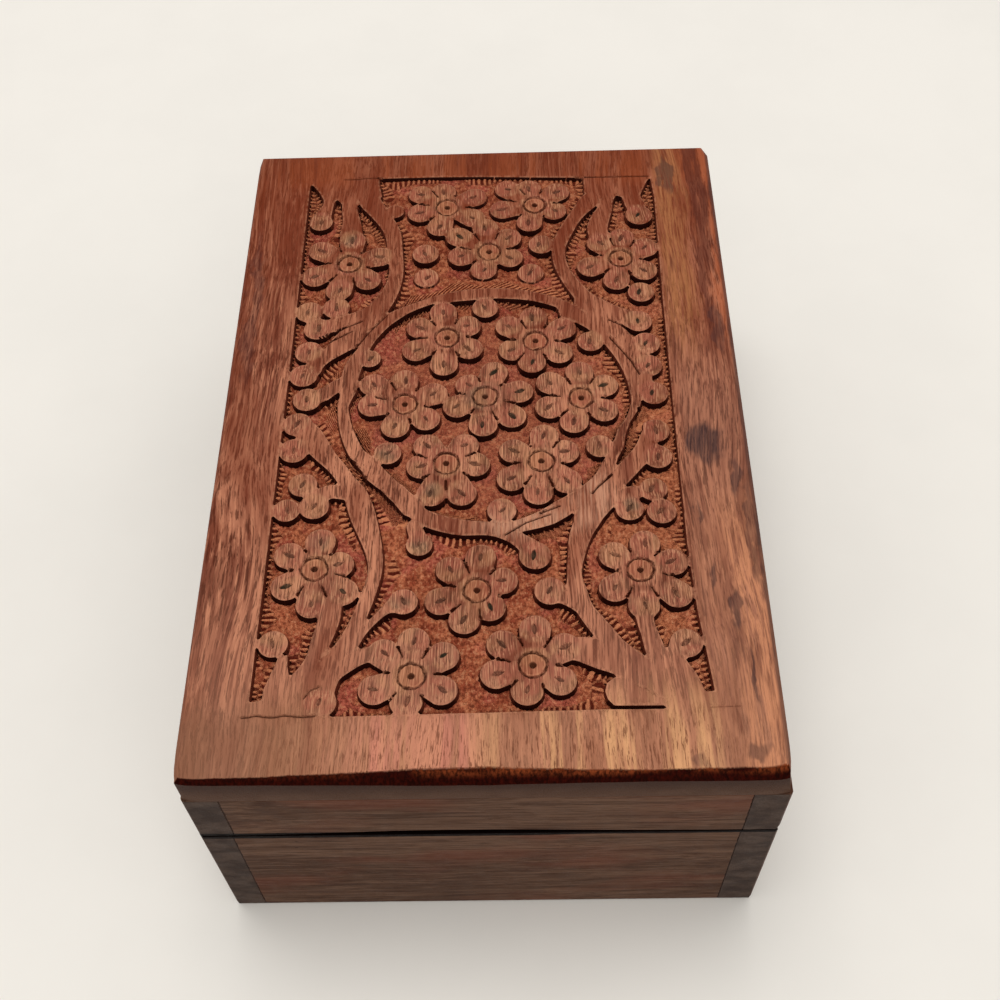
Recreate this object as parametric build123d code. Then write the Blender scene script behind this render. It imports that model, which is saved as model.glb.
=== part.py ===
from build123d import *
import math
import os

# Carved wooden rosary box: a plain base, a hinged lid with a sunk and carved top.
# Millimetres. X runs across the box, Y along it, Z up; the origin is the middle of the underside.
# The hinges are on the +X long side, and the lid's -X side lifts.

# ---- overall sizes -------------------------------------------------------------------------
BOX_LENGTH = 152.8
BOX_WIDTH = 102.6
BASE_HEIGHT = 37.4
SEAM_GAP = 0.35
LID_RAIL_HEIGHT = 15.65
TOP_THICKNESS = 7.5

# ---- boards: each was planed by hand, so their thicknesses differ a little ------------------
BASE_LEFT_THICKNESS = 5.8
BASE_RIGHT_THICKNESS = 6.6
LID_LEFT_THICKNESS = 6.3
LID_RIGHT_THICKNESS = 6.4
SHORT_BOARD_THICKNESS = 6.4
BOTTOM_THICKNESS = 4.0
BOTTOM_REBATE = 2.5
BOTTOM_PLAY = 0.1

# ---- hand-worked outline ---------------------------------------------------------------------
BACK_CORNER_INSET = 1.7
BACK_CORNER_RUN = 4.4
BACK_SKEW = 0.9
RIGHT_LEAN = 1.0
UPRIGHT_EASING = 0.5
TOP_EASING = 0.7
FOOT_EASING = 0.8
FRONT_ARRIS = 2.5
FRONT_ARRIS_LEFT = 0.8
FRONT_ARRIS_SLOPE = 0.7
FRONT_ARRIS_TAPER_RUN = 22.0
RAIL_HOLLOW_DEPTH = 1.3
RAIL_HOLLOW_CENTRE_SHARE = 0.31
RAIL_HOLLOW_END_INSET = 1.5

# ---- carved field in the lid's top -----------------------------------------------------------
CARVING_DEPTH = 2.0
LEFT_BORDER = 11.9
RIGHT_BORDER = 14.4
FRONT_BORDER = 12.2
BACK_BORDER = 9.2
FIELD_FLARE = 2.2
RING_INNER_RADIUS = 27.8
RING_WIDTH = 2.8
PETAL_COUNT = 6
PETAL_RADIUS = 2.95
PETAL_DISTANCE = 6.2
HUB_RADIUS = 4.8
BUD_RADIUS = 2.8
ROUND_CUTS = 9

# ---- butt hinges and their screws ------------------------------------------------------------
HINGE_LENGTH = 25.0
HINGE_FROM_END = 32.0
KNUCKLE_COUNT = 3
KNUCKLE_GAP = 0.3
LEAF_THICKNESS = 0.5
LEAF_INNER_MARGIN = 1.0
PIN_RADIUS = 0.9
PIN_CLEARANCE = 0.05
AXIS_INSET = 0.8
OPEN_ANGLE = 100.0
WORKING_CLEARANCE = 0.3
SCREW_LENGTH = 8.0
SCREW_RADIUS = 0.75
SCREW_HEAD_RADIUS = 1.05
SCREW_CLEARANCE = 0.05
SCREW_SPACING = 16.0

# ---- worked out from the sizes above ---------------------------------------------------------
HALF_LENGTH = BOX_LENGTH / 2
HALF_WIDTH = BOX_WIDTH / 2
LID_BOTTOM = BASE_HEIGHT + SEAM_GAP
LID_RAIL_TOP = LID_BOTTOM + LID_RAIL_HEIGHT
BOX_HEIGHT = LID_RAIL_TOP + TOP_THICKNESS
AXIS_X = HALF_WIDTH - AXIS_INSET
AXIS_Z = BASE_HEIGHT + SEAM_GAP / 2
HINGE_CENTRES = {
    "front": -HALF_LENGTH + HINGE_FROM_END,
    "back": HALF_LENGTH - HINGE_FROM_END,
}
KNUCKLE_RADIUS = PIN_RADIUS + PIN_CLEARANCE + LEAF_THICKNESS
KNUCKLE_LENGTH = (HINGE_LENGTH - (KNUCKLE_COUNT - 1) * KNUCKLE_GAP) / KNUCKLE_COUNT
LEAF_INNER_X = HALF_WIDTH - min(BASE_RIGHT_THICKNESS, LID_RIGHT_THICKNESS) + LEAF_INNER_MARGIN
SCREW_X = (LEAF_INNER_X + AXIS_X - KNUCKLE_RADIUS) / 2


def block(x_range, y_range, z_range):
    """A plain block between the given limits."""
    size = [limits[1] - limits[0] for limits in (x_range, y_range, z_range)]
    middle = [(limits[0] + limits[1]) / 2 for limits in (x_range, y_range, z_range)]
    return Pos(*middle) * Box(*size)


def rod_along_y(radius, y_range, x=AXIS_X, z=AXIS_Z):
    """A cylinder that runs along the box."""
    length = y_range[1] - y_range[0]
    place = Pos(x, (y_range[0] + y_range[1]) / 2, z) * Rot(90, 0, 0)
    return place * Cylinder(radius, length)


# ---- the finished outside of the whole box, which every board is trimmed to ------------------
def plan_outline():
    """The box from above: one far corner swept in, the far end a little out of square."""
    front_left = (-HALF_WIDTH, -HALF_LENGTH)
    front_right = (HALF_WIDTH, -HALF_LENGTH)
    right_end = (HALF_WIDTH, HALF_LENGTH - BACK_CORNER_RUN)
    back_right = (HALF_WIDTH - BACK_CORNER_INSET, HALF_LENGTH)
    back_left = (-HALF_WIDTH, HALF_LENGTH - BACK_SKEW)
    back_sweep = TangentArc(right_end, back_right, tangent=(0, 1))
    edges = [
        Line(front_left, front_right),
        Line(front_right, right_end),
        back_sweep,
        Line(back_right, back_left),
        Line(back_left, front_left),
    ]
    return make_face(edges)


def front_arris_cut():
    """The planed-off front top edge, flatter than a mitre, which dies away to the left corner."""
    beyond = 1.0
    sections = []
    for x, size in (
        (-HALF_WIDTH - beyond, FRONT_ARRIS_LEFT),
        (-HALF_WIDTH + FRONT_ARRIS_TAPER_RUN, FRONT_ARRIS),
        (HALF_WIDTH + beyond, FRONT_ARRIS),
    ):
        corner = Plane(origin=(x, -HALF_LENGTH, BOX_HEIGHT), x_dir=(0, 1, 0), z_dir=(1, 0, 0))
        drop = size * FRONT_ARRIS_SLOPE
        triangle = Polygon(
            (size, 0), (size, beyond), (-beyond, beyond), (-beyond, -drop), (0, -drop), align=None
        )
        sections.append(corner * triangle)
    return loft(sections, ruled=True)


def right_edge_cut():
    """The top board's right edge leans in as it rises, and its top arris is eased."""
    beyond = 1.0
    edge_x = HALF_WIDTH - RIGHT_LEAN
    points = [
        (HALF_WIDTH, LID_RAIL_TOP),
        (edge_x, BOX_HEIGHT - TOP_EASING),
        (edge_x - TOP_EASING, BOX_HEIGHT),
        (edge_x - TOP_EASING, BOX_HEIGHT + beyond),
        (HALF_WIDTH + beyond, BOX_HEIGHT + beyond),
        (HALF_WIDTH + beyond, LID_RAIL_TOP),
    ]
    upright = Plane(origin=(0, 0, 0), x_dir=(1, 0, 0), z_dir=(0, -1, 0))
    return extrude(upright * Polygon(*points, align=None), BOX_LENGTH, both=True)


def outside():
    """The whole box as one block, with its eased edges."""
    body = extrude(plan_outline(), BOX_HEIGHT)
    uprights = body.edges().filter_by(Axis.Z)
    square = [edge for edge in uprights if edge.center().X < 0 or edge.center().Y < 0]
    body = chamfer(square, UPRIGHT_EASING)
    body = chamfer(body.faces().sort_by(Axis.Z)[0].edges(), FOOT_EASING)
    top_edges = body.faces().sort_by(Axis.Z)[-1].edges()
    front_edge = top_edges.sort_by(Axis.Y)[0]
    eased = [edge for edge in top_edges if edge != front_edge]
    body = chamfer(eased, TOP_EASING)
    return body - front_arris_cut() - right_edge_cut()


OUTSIDE = outside()


# ---- cuts shared by the boards -----------------------------------------------------------------
def stop_bevel(side):
    """The planed rear edge at the seam; side is -1 under the hinge axis and +1 over it.

    The two bevels meet, less the working clearance, when the lid stands at OPEN_ANGLE.
    """
    half_angle = math.radians(OPEN_ANGLE / 2)
    along = Vector(math.cos(half_angle), side * math.sin(half_angle))
    inward = Vector(-math.sin(half_angle), side * math.cos(half_angle))
    foot = inward * (WORKING_CLEARANCE / 2)
    start = foot - along * SEAM_GAP
    end = foot + along * (4 * AXIS_INSET)
    points = [(start.X, start.Y), (end.X, end.Y), (end.X, start.Y)]
    section = Plane(origin=(AXIS_X, 0, AXIS_Z), x_dir=(1, 0, 0), z_dir=(0, -1, 0))
    return extrude(section * Polygon(*points, align=None), BOX_LENGTH, both=True)


def barrel_recess(centre):
    """Room for the barrel to turn in the rear edges of base and lid."""
    reach = HINGE_LENGTH / 2 + WORKING_CLEARANCE
    return rod_along_y(KNUCKLE_RADIUS + WORKING_CLEARANCE, (centre - reach, centre + reach))


def leaf_block(centre, side):
    """The plate of a leaf, as far as the hinge axis."""
    y_range = (centre - HINGE_LENGTH / 2, centre + HINGE_LENGTH / 2)
    if side < 0:
        z_range = (BASE_HEIGHT - LEAF_THICKNESS, BASE_HEIGHT)
    else:
        z_range = (LID_BOTTOM, LID_BOTTOM + LEAF_THICKNESS)
    return block((LEAF_INNER_X, AXIS_X), y_range, z_range)


def screw_places(side):
    """Where the heads of the base's or the lid's screws sit flush, pointing into the wood."""
    level = BASE_HEIGHT if side < 0 else LID_BOTTOM
    turn = Rot(0, 0, 0) if side < 0 else Rot(180, 0, 0)
    spots = []
    for centre in HINGE_CENTRES.values():
        for step in (-SCREW_SPACING / 2, SCREW_SPACING / 2):
            spots.append(Pos(SCREW_X, centre + step, level) * turn)
    return spots


def pilot_hole():
    """The hole for one screw's shank, pricked with a square awl down from the head's level."""
    depth = SCREW_LENGTH + SCREW_CLEARANCE
    side = 2 * (SCREW_RADIUS + SCREW_CLEARANCE)
    return Pos(0, 0, -depth / 2) * Box(side, side, depth)


def hinge_side(board, side):
    """Bevel, gains, barrel recesses and pilot holes of a board that carries the hinges."""
    board -= stop_bevel(side)
    for centre in HINGE_CENTRES.values():
        board -= leaf_block(centre, side)
        board -= barrel_recess(centre)
    for place in screw_places(side):
        board -= place * pilot_hole()
    return board


# ---- base ----------------------------------------------------------------------------------------
BASE_INNER_X = (-HALF_WIDTH + BASE_LEFT_THICKNESS, HALF_WIDTH - BASE_RIGHT_THICKNESS)
INNER_Y = (-HALF_LENGTH + SHORT_BOARD_THICKNESS, HALF_LENGTH - BACK_SKEW - SHORT_BOARD_THICKNESS)
BASE_Z = (0, BASE_HEIGHT)
FULL_X = (-HALF_WIDTH, HALF_WIDTH)
FULL_Y = (-HALF_LENGTH, HALF_LENGTH)


def bottom_panel_block(play):
    """The bottom panel, or with no play the rebate that it lies in."""
    reach = BOTTOM_REBATE - play
    x_range = (BASE_INNER_X[0] - reach, BASE_INNER_X[1] + reach)
    y_range = (INNER_Y[0] - reach, INNER_Y[1] + reach)
    return block(x_range, y_range, (0, BOTTOM_THICKNESS))


def base_board(x_range, y_range):
    """One board of the base, trimmed to the outside and rebated for the bottom."""
    return (block(x_range, y_range, BASE_Z) & OUTSIDE) - bottom_panel_block(0)


base_front_board = base_board(BASE_INNER_X, (FULL_Y[0], INNER_Y[0]))
base_back_board = base_board(BASE_INNER_X, (INNER_Y[1], FULL_Y[1]))
base_left_board = base_board((FULL_X[0], BASE_INNER_X[0]), FULL_Y)
base_right_board = hinge_side(base_board((BASE_INNER_X[1], FULL_X[1]), FULL_Y), -1)
base_bottom_panel = bottom_panel_block(BOTTOM_PLAY)


# ---- lid rails -----------------------------------------------------------------------------------
LID_INNER_X = (-HALF_WIDTH + LID_LEFT_THICKNESS, HALF_WIDTH - LID_RIGHT_THICKNESS)
RAIL_Z = (LID_BOTTOM, LID_RAIL_TOP)


def lid_rail(x_range, y_range):
    """One rail of the lid, trimmed to the outside."""
    return block(x_range, y_range, RAIL_Z) & OUTSIDE


def rail_hollow():
    """The front rail's lower edge is worn hollow, deepest left of the middle."""
    start = LID_INNER_X[0] + RAIL_HOLLOW_END_INSET
    end = LID_INNER_X[1] - RAIL_HOLLOW_END_INSET
    deepest = start + (end - start) * RAIL_HOLLOW_CENTRE_SHARE
    curve = Spline(
        (start, LID_BOTTOM),
        (deepest, LID_BOTTOM + RAIL_HOLLOW_DEPTH),
        (end, LID_BOTTOM),
        tangents=[(1, 0), (1, 0)],
    )
    section = make_face([curve, Line((end, LID_BOTTOM), (start, LID_BOTTOM))])
    upright = Plane(origin=(0, 0, 0), x_dir=(1, 0, 0), z_dir=(0, -1, 0))
    return extrude(upright * section, BOX_LENGTH, both=True)


lid_front_rail = lid_rail(LID_INNER_X, (FULL_Y[0], INNER_Y[0])) - rail_hollow()
lid_back_rail = lid_rail(LID_INNER_X, (INNER_Y[1], FULL_Y[1]))
lid_left_rail = lid_rail((FULL_X[0], LID_INNER_X[0]), FULL_Y)
lid_right_rail = hinge_side(lid_rail((LID_INNER_X[1], FULL_X[1]), FULL_Y), 1)


# ---- lid top: the pattern is laid out from the box's middle, as drawn for a field of DRAWN_SIZE --
DRAWN_SIZE = (76.3, 131.4)
RING_CENTRE = (1.2, 2.2)
# middle of each flower, and the turn of its first petal in degrees
FLOWERS = [
    (-7.8, 19.7, -29), (10.2, 18.5, 26), (-15.8, 2.5, 19), (0.2, 3.9, 18), (18.5, 3.2, 25),
    (-7.3, -12.8, 5), (10.5, -12.3, 26), (-30.6, -36.5, 26), (28.2, -37.0, 24), (-2.0, -40.2, 16),
    (-12.8, -56.9, 26), (8.2, -55.0, 25), (-29.4, 40.8, 21), (-8.8, 58.3, 25), (0.3, 44.9, 26),
    (9.9, 58.4, 28), (28.8, 41.4, 22),
]
# single buds beside the stems, on the ring and in the corners
BUDS = [
    (-23.8, 14.4), (-18.7, -9.4), (22.6, 18.2), (22.0, -8.5), (3.1, -23.1), (0.0, 28.0),
    (-12.0, -30.4), (9.1, -33.1), (-14.5, -42.4), (11.6, -40.6), (-34.4, -16.6), (-37.0, -22.4),
    (-31.9, -21.6), (31.5, -18.8), (26.8, -23.1), (32.7, -23.8), (-37.0, -50.6), (35.3, -51.5),
    (-36.1, 53.2), (33.5, 54.6), (-12.8, 43.8), (12.0, 46.1), (9.6, 37.6), (-12.5, 36.7),
    (-36.5, 27.5), (-31.0, 28.5), (-34.5, 22.8), (-35.8, 16.5), (-36.4, 10.3), (-35.2, 4.1),
    (-36.4, -2.1), (-36.3, -8.5), (32.5, 31.6), (31.4, 23.5), (32.6, 17.4), (32.6, 11.5),
    (33.2, 4.4), (32.9, -5.0), (32.9, -11.2),
]
# each stem's way as x, y and width
STEMS = [
    # the ring's tail with its bud, and the stem of the bud under the ring
    [(-12.5, -23.6, 2.8), (-4.7, -27.1, 2.4), (1.0, -27.4, 2.2), (8.4, -31.4, 3.4)],
    [(-13.2, -26.2, 2.6), (-12.2, -29.0, 2.6)],
    # front left corner
    [(-28.5, -60.5, 6.0), (-23.4, -49.0, 2.7), (-19.8, -35.0, 2.3), (-24.3, -19.0, 4.2), (-35.3, -3.0, 3.6)],
    [(-30.3, -56.0, 3.2), (-27.2, -45.5, 3.4)],
    [(-28.0, -57.0, 3.6), (-18.5, -53.0, 2.6)],
    [(-24.0, -51.5, 2.4), (-19.4, -46.0, 1.1), (-15.5, -42.8, 3.0)],
    [(-25.5, -18.5, 2.8), (-32.0, -20.0, 3.0)],
    # front right corner
    [(20.0, -21.5, 3.6), (16.3, -36.0, 2.3), (20.0, -47.0, 2.6), (27.5, -57.0, 4.6)],
    [(11.6, -40.6, 3.0), (18.0, -43.5, 2.6)],
    [(28.2, -44.0, 2.8), (28.7, -48.5, 2.6), (31.0, -57.0, 3.4)],
    [(15.0, -52.0, 2.8), (19.0, -53.2, 4.0), (26.0, -57.0, 3.6)],
    [(23.4, -60.7, 5.0), (26.5, -61.2, 3.8), (31.2, -62.8, 1.6)],
    [(20.5, -24.0, 3.0), (28.0, -20.0, 2.6)],
    [(33.0, -7.0, 3.4), (28.0, -12.8, 3.5), (19.5, -22.0, 3.6)],
    # back left corner
    [(-27.0, 61.5, 5.0), (-21.9, 54.0, 3.0), (-19.1, 40.0, 2.3), (-23.0, 27.0, 4.0), (-34.5, 13.0, 3.6)],
    [(-24.0, 27.5, 3.6), (-33.0, 23.2, 3.4)],
    [(-28.6, 7.8, 3.6), (-34.5, 4.2, 3.0)],
    [(-31.0, 62.0, 3.2), (-29.0, 49.5, 4.2)],
    [(-34.6, 61.5, 2.6), (-36.0, 55.5, 3.6)],
    # back right corner
    [(23.8, 61.5, 3.4), (18.6, 53.0, 2.3), (15.8, 41.0, 2.1), (21.0, 29.0, 3.4), (30.8, 12.0, 3.2)],
    [(23.5, 26.5, 3.6), (30.5, 24.0, 3.2)],
    [(26.8, 61.5, 2.6), (24.6, 50.0, 4.0)],
    [(32.2, 61.5, 3.6), (33.3, 56.0, 4.2)],
]
# the raised corners from which the stems fan out
FEET = [
    [(-42, -67), (-39.8, -61.4), (-37.9, -61.2), (-35.7, -53.3), (-34.3, -52.2), (-33.5, -57.2),
     (-31.2, -54.4), (-27.6, -56.6), (-27.6, -59.4), (-25.4, -61), (-25.4, -67)],
    [(42, -67), (39.4, -61), (37.3, -61), (34.6, -54.9), (31.3, -53.4), (28, -56), (24.2, -57.6),
     (27.5, -60.2), (30.6, -63.4), (30.6, -67)],
    [(-42, 70), (-38.9, 66.2), (-35.4, 60.3), (-32.9, 61.5), (-30.9, 60.6), (-28.9, 61.3),
     (-25.4, 59.6), (-23.4, 62), (-24, 70)],
    [(40, 70), (36.9, 66.6), (33.9, 60.1), (28.9, 61.1), (25.5, 60.5), (22.7, 60.6), (21.9, 62.2),
     (21.9, 70)],
]


def on_top(x, y):
    """A point of the drawn pattern, placed on this box's carved field."""
    width = BOX_WIDTH - LEFT_BORDER - RIGHT_BORDER
    length = BOX_LENGTH - FRONT_BORDER - BACK_BORDER
    return (x * width / DRAWN_SIZE[0], y * length / DRAWN_SIZE[1])


def bud(radius):
    """A round knob, set in by ROUND_CUTS straight cuts of the chisel, one of them facing outward."""
    return RegularPolygon(radius, ROUND_CUTS, rotation=180 / ROUND_CUTS)


def flower(x, y, turn):
    """Petals round a hub, with the hub's flats as the floors of the notches between them."""
    petals = PolarLocations(PETAL_DISTANCE, PETAL_COUNT, start_angle=turn)
    hub = Rot(0, 0, turn) * RegularPolygon(HUB_RADIUS, PETAL_COUNT)
    return Pos(*on_top(x, y)) * (hub + [place * bud(PETAL_RADIUS) for place in petals])


def side_arcs(points):
    """One side of a stem: a fair curve through the points, laid out in arcs."""
    if len(points) == 2:
        return [Line(*points)]
    if len(points) == 3:
        return [ThreePointArc(*points)]
    curve = Spline(*points)
    arc_count = len(points) - 1
    steps = [curve @ (index / (2 * arc_count)) for index in range(2 * arc_count + 1)]
    return [ThreePointArc(*steps[start : start + 3]) for start in range(0, 2 * arc_count, 2)]


def stem(way):
    """A ribbon that swells and narrows along its way."""
    points = [Vector(*on_top(x, y)) for x, y, _ in way]
    left, right = [], []
    for index, (_, _, width) in enumerate(way):
        before = points[max(index - 1, 0)]
        after = points[min(index + 1, len(points) - 1)]
        across = (after - before).normalized().rotate(Axis.Z, 90) * (width / 2)
        left.append(points[index] + across)
        right.append(points[index] - across)
    sides = side_arcs(left) + side_arcs(right)
    return make_face(sides + [Line(left[0], right[0]), Line(left[-1], right[-1])])


def carved_field():
    """The sunk rectangle, its right-hand wall flaring out towards the front corner."""
    left, right = -HALF_WIDTH + LEFT_BORDER, HALF_WIDTH - RIGHT_BORDER
    front, back = -HALF_LENGTH + FRONT_BORDER, HALF_LENGTH - BACK_BORDER
    edges = [
        Line((left, back), (right, back)),
        Line((right, back), (right, front / 2)),
        TangentArc((right, front / 2), (right + FIELD_FLARE, front), tangent=(0, -1)),
        Line((right + FIELD_FLARE, front), (left, front)),
        Line((left, front), (left, back)),
    ]
    return make_face(edges)


def raised_pattern():
    """Everything that stands level with the border inside the carved field."""
    ring = Circle(RING_INNER_RADIUS + RING_WIDTH) - Circle(RING_INNER_RADIUS)
    pattern = [Pos(*on_top(*RING_CENTRE)) * ring]
    pattern += [flower(*item) for item in FLOWERS]
    pattern += [Pos(*on_top(x, y)) * bud(BUD_RADIUS) for x, y in BUDS]
    pattern += [stem(way) for way in STEMS]
    pattern += [Polygon(*[on_top(x, y) for x, y in foot], align=None) for foot in FEET]
    return Sketch() + pattern


ground = carved_field() - raised_pattern()
lid_top_panel = block(FULL_X, FULL_Y, (LID_RAIL_TOP, BOX_HEIGHT)) & OUTSIDE
lid_top_panel -= extrude(Pos(0, 0, BOX_HEIGHT) * ground, -CARVING_DEPTH)


# ---- hinges ----------------------------------------------------------------------------------------
def knuckle_spans(centre, side):
    """The stretches of the barrel that belong to one leaf: the base has the outer ones."""
    first = 0 if side < 0 else 1
    spans = []
    for index in range(first, KNUCKLE_COUNT, 2):
        start = centre - HINGE_LENGTH / 2 + index * (KNUCKLE_LENGTH + KNUCKLE_GAP)
        spans.append((start, start + KNUCKLE_LENGTH))
    return spans


def hinge_leaf(centre, side):
    """A leaf with its knuckles, cut away round the other leaf's knuckles."""
    leaf = leaf_block(centre, side)
    for start, end in knuckle_spans(centre, -side):
        room = (start - KNUCKLE_GAP, end + KNUCKLE_GAP)
        leaf -= rod_along_y(KNUCKLE_RADIUS + WORKING_CLEARANCE, room)
    for span in knuckle_spans(centre, side):
        leaf += rod_along_y(KNUCKLE_RADIUS, span)
    leaf -= rod_along_y(PIN_RADIUS + PIN_CLEARANCE, (centre - HINGE_LENGTH, centre + HINGE_LENGTH))
    for place in screw_places(side):
        leaf -= place * screw(SCREW_CLEARANCE)
    return leaf


def hinge_pin(centre):
    """A plain pin, cut flush with the outer knuckles."""
    return rod_along_y(PIN_RADIUS, (centre - HINGE_LENGTH / 2, centre + HINGE_LENGTH / 2))


def screw(extra=0.0):
    """A screw, head up, countersunk right through a leaf; extra widens it into its hole."""
    shank_length = SCREW_LENGTH - LEAF_THICKNESS
    head = Cone(SCREW_RADIUS + extra, SCREW_HEAD_RADIUS + extra, LEAF_THICKNESS)
    shank = Cylinder(SCREW_RADIUS + extra, shank_length)
    return Pos(0, 0, -LEAF_THICKNESS / 2) * head + Pos(0, 0, -LEAF_THICKNESS - shank_length / 2) * shank


hinges = {}
for name, centre in HINGE_CENTRES.items():
    hinges[f"{name}_hinge_base_leaf"] = hinge_leaf(centre, -1)
    hinges[f"{name}_hinge_lid_leaf"] = hinge_leaf(centre, 1)
    hinges[f"{name}_hinge_pin"] = hinge_pin(centre)

base_hinge_screws = Compound([place * screw() for place in screw_places(-1)])
lid_hinge_screws = Compound([place * screw() for place in screw_places(1)])


# ---- one file for each sub-part ----------------------------------------------------------------------
nodes = {
    "base_front_board": base_front_board,
    "base_back_board": base_back_board,
    "base_left_board": base_left_board,
    "base_right_board": base_right_board,
    "base_bottom_panel": base_bottom_panel,
    "lid_top_panel": lid_top_panel,
    "lid_front_rail": lid_front_rail,
    "lid_back_rail": lid_back_rail,
    "lid_left_rail": lid_left_rail,
    "lid_right_rail": lid_right_rail,
    "base_hinge_screws": base_hinge_screws,
    "lid_hinge_screws": lid_hinge_screws,
    **hinges,
}
os.makedirs("parts", exist_ok=True)
for name, solid in nodes.items():
    export_step(solid, f"parts/{name}.step")
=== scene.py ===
import math

import bpy
import numpy as np
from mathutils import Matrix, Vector


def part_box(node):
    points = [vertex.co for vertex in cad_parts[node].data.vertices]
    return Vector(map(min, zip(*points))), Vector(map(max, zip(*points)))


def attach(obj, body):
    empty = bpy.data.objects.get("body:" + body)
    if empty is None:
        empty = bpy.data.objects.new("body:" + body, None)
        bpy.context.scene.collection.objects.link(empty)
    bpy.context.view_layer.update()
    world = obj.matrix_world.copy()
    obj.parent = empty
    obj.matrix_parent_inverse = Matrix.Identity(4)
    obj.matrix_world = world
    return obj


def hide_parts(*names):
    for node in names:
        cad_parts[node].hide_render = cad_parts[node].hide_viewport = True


# A hand-carved rosewood rosary box. X runs across the box, Y along it away from the camera, Z up.
# Lengths are millimetres. Names that end in _M, CAD_BOX and the places of lamps and camera are metres.

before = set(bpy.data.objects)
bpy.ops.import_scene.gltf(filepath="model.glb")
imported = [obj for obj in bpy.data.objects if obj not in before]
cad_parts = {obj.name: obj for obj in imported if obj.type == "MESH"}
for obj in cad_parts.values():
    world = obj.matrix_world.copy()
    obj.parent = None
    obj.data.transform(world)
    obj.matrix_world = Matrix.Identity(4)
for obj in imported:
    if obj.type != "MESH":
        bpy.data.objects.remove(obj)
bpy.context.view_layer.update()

MM = 0.001
SEED = 7

# ------------------------------------------------------------------ sizes shared with the CAD model
PANEL_BOX = [[round(length / MM, 2) for length in corner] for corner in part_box("lid_top_panel")]
(LEFT, FRONT, PANEL_BOTTOM), (RIGHT, BACK, PANEL_TOP) = PANEL_BOX
BACK_LEFT_Y = 75.5
BACK_CORNER_INSET, BACK_CORNER_RUN = 1.7, 4.4
RIGHT_LEAN = 1.0
CARVE_DEPTH = 2.0
SEAM_Z = 37.6

# ------------------------------------------------------------------ the carved pattern
# each flower: middle, then the middles of its petals
FLOWERS = [
    [(-7.8, 19.7), (-8.7, 26.8), (-13.4, 22.6), (-14, 16.5), (-8.3, 12.6), (-3.3, 16.8), (-3.7, 22.9)],
    [(10.2, 18.5), (9.9, 25), (4.9, 22.6), (5.5, 16.2), (9.4, 12.9), (14.9, 15.3), (15.8, 21.8)],
    [(-15.8, 2.5), (-16.1, 8.5), (-22.2, 7.6), (-22.2, 2.4), (-17.5, -2.9), (-11.6, -1.2), (-10.2, 5)],
    [(0, 4.1), (1.7, 10.3), (-3.1, 7.1), (-5.5, 1.8), (-0.4, -2.9), (5.2, -0.9), (6.7, 5.3)],
    [(18.9, 3.4), (18.8, 10), (12.9, 7.4), (12.6, 1.2), (17.3, -2.4), (23.2, 0.3), (23.5, 6.5)],
    [(-7.4, -12.1), (-11, -7.9), (-4, -7.9), (-12.2, -12.7), (-10.1, -19.1), (-4.4, -19.1), (-1.9, -12.4)],
    [(10.7, -11.9), (11.4, -5.9), (5.5, -9.4), (5, -15.9), (10, -19.1), (15.4, -16.6), (15.2, -9.7)],
    [(-30.8, -35.4), (-30.1, -29.5), (-35.6, -32.4), (-35.6, -39), (-30.8, -42.7), (-25.4, -40.2),
     (-26.5, -34.5)],
    [(27.9, -36.5), (29.1, -30.9), (23.4, -33.3), (23.1, -40.2), (28.1, -43.8), (34.1, -41.6),
     (33.8, -34.9)],
    [(-1.4, -40.3), (-0.8, -33.4), (-6.1, -35.9), (-7.9, -42.4), (-3.6, -46.3), (0.9, -43.8), (3.1, -38.4)],
    [(-12.6, -57.2), (-12.4, -50.5), (-17.6, -52.7), (-18.8, -59.7), (-13.3, -62), (-7.4, -59.9),
     (-7.2, -53.4)],
    [(8.25, -55.4), (8.8, -48.4), (3.1, -51.3), (2, -57), (7.2, -60.2), (12.9, -58.4), (13.8, -52)],
    [(-29, 41.1), (-28.7, 48.2), (-22.8, 43.2), (-24.9, 36.4), (-30.8, 33.5), (-36.1, 37.6), (-35.2, 45.2)],
    [(-8.4, 57.9), (-9.3, 62.9), (-2.5, 61.1), (-2.8, 54.6), (-9.9, 52), (-14.3, 56.4), (-14.3, 62.3)],
    [(0.8, 44.1), (0, 51.4), (-5.8, 48.8), (-5.2, 42.9), (-0.4, 38.8), (5.2, 42.3), (4.9, 48.2)],
    [(10.8, 58.2), (9.6, 63.5), (4.9, 63.5), (3.8, 57), (9.6, 52.9), (14.9, 56.4), (15.8, 62.3)],
    [(28.8, 41.4), (29.4, 47.6), (34.1, 44.6), (33.5, 37.9), (27.6, 35.2), (22.3, 39.1), (24.6, 46.1)],
]
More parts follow.
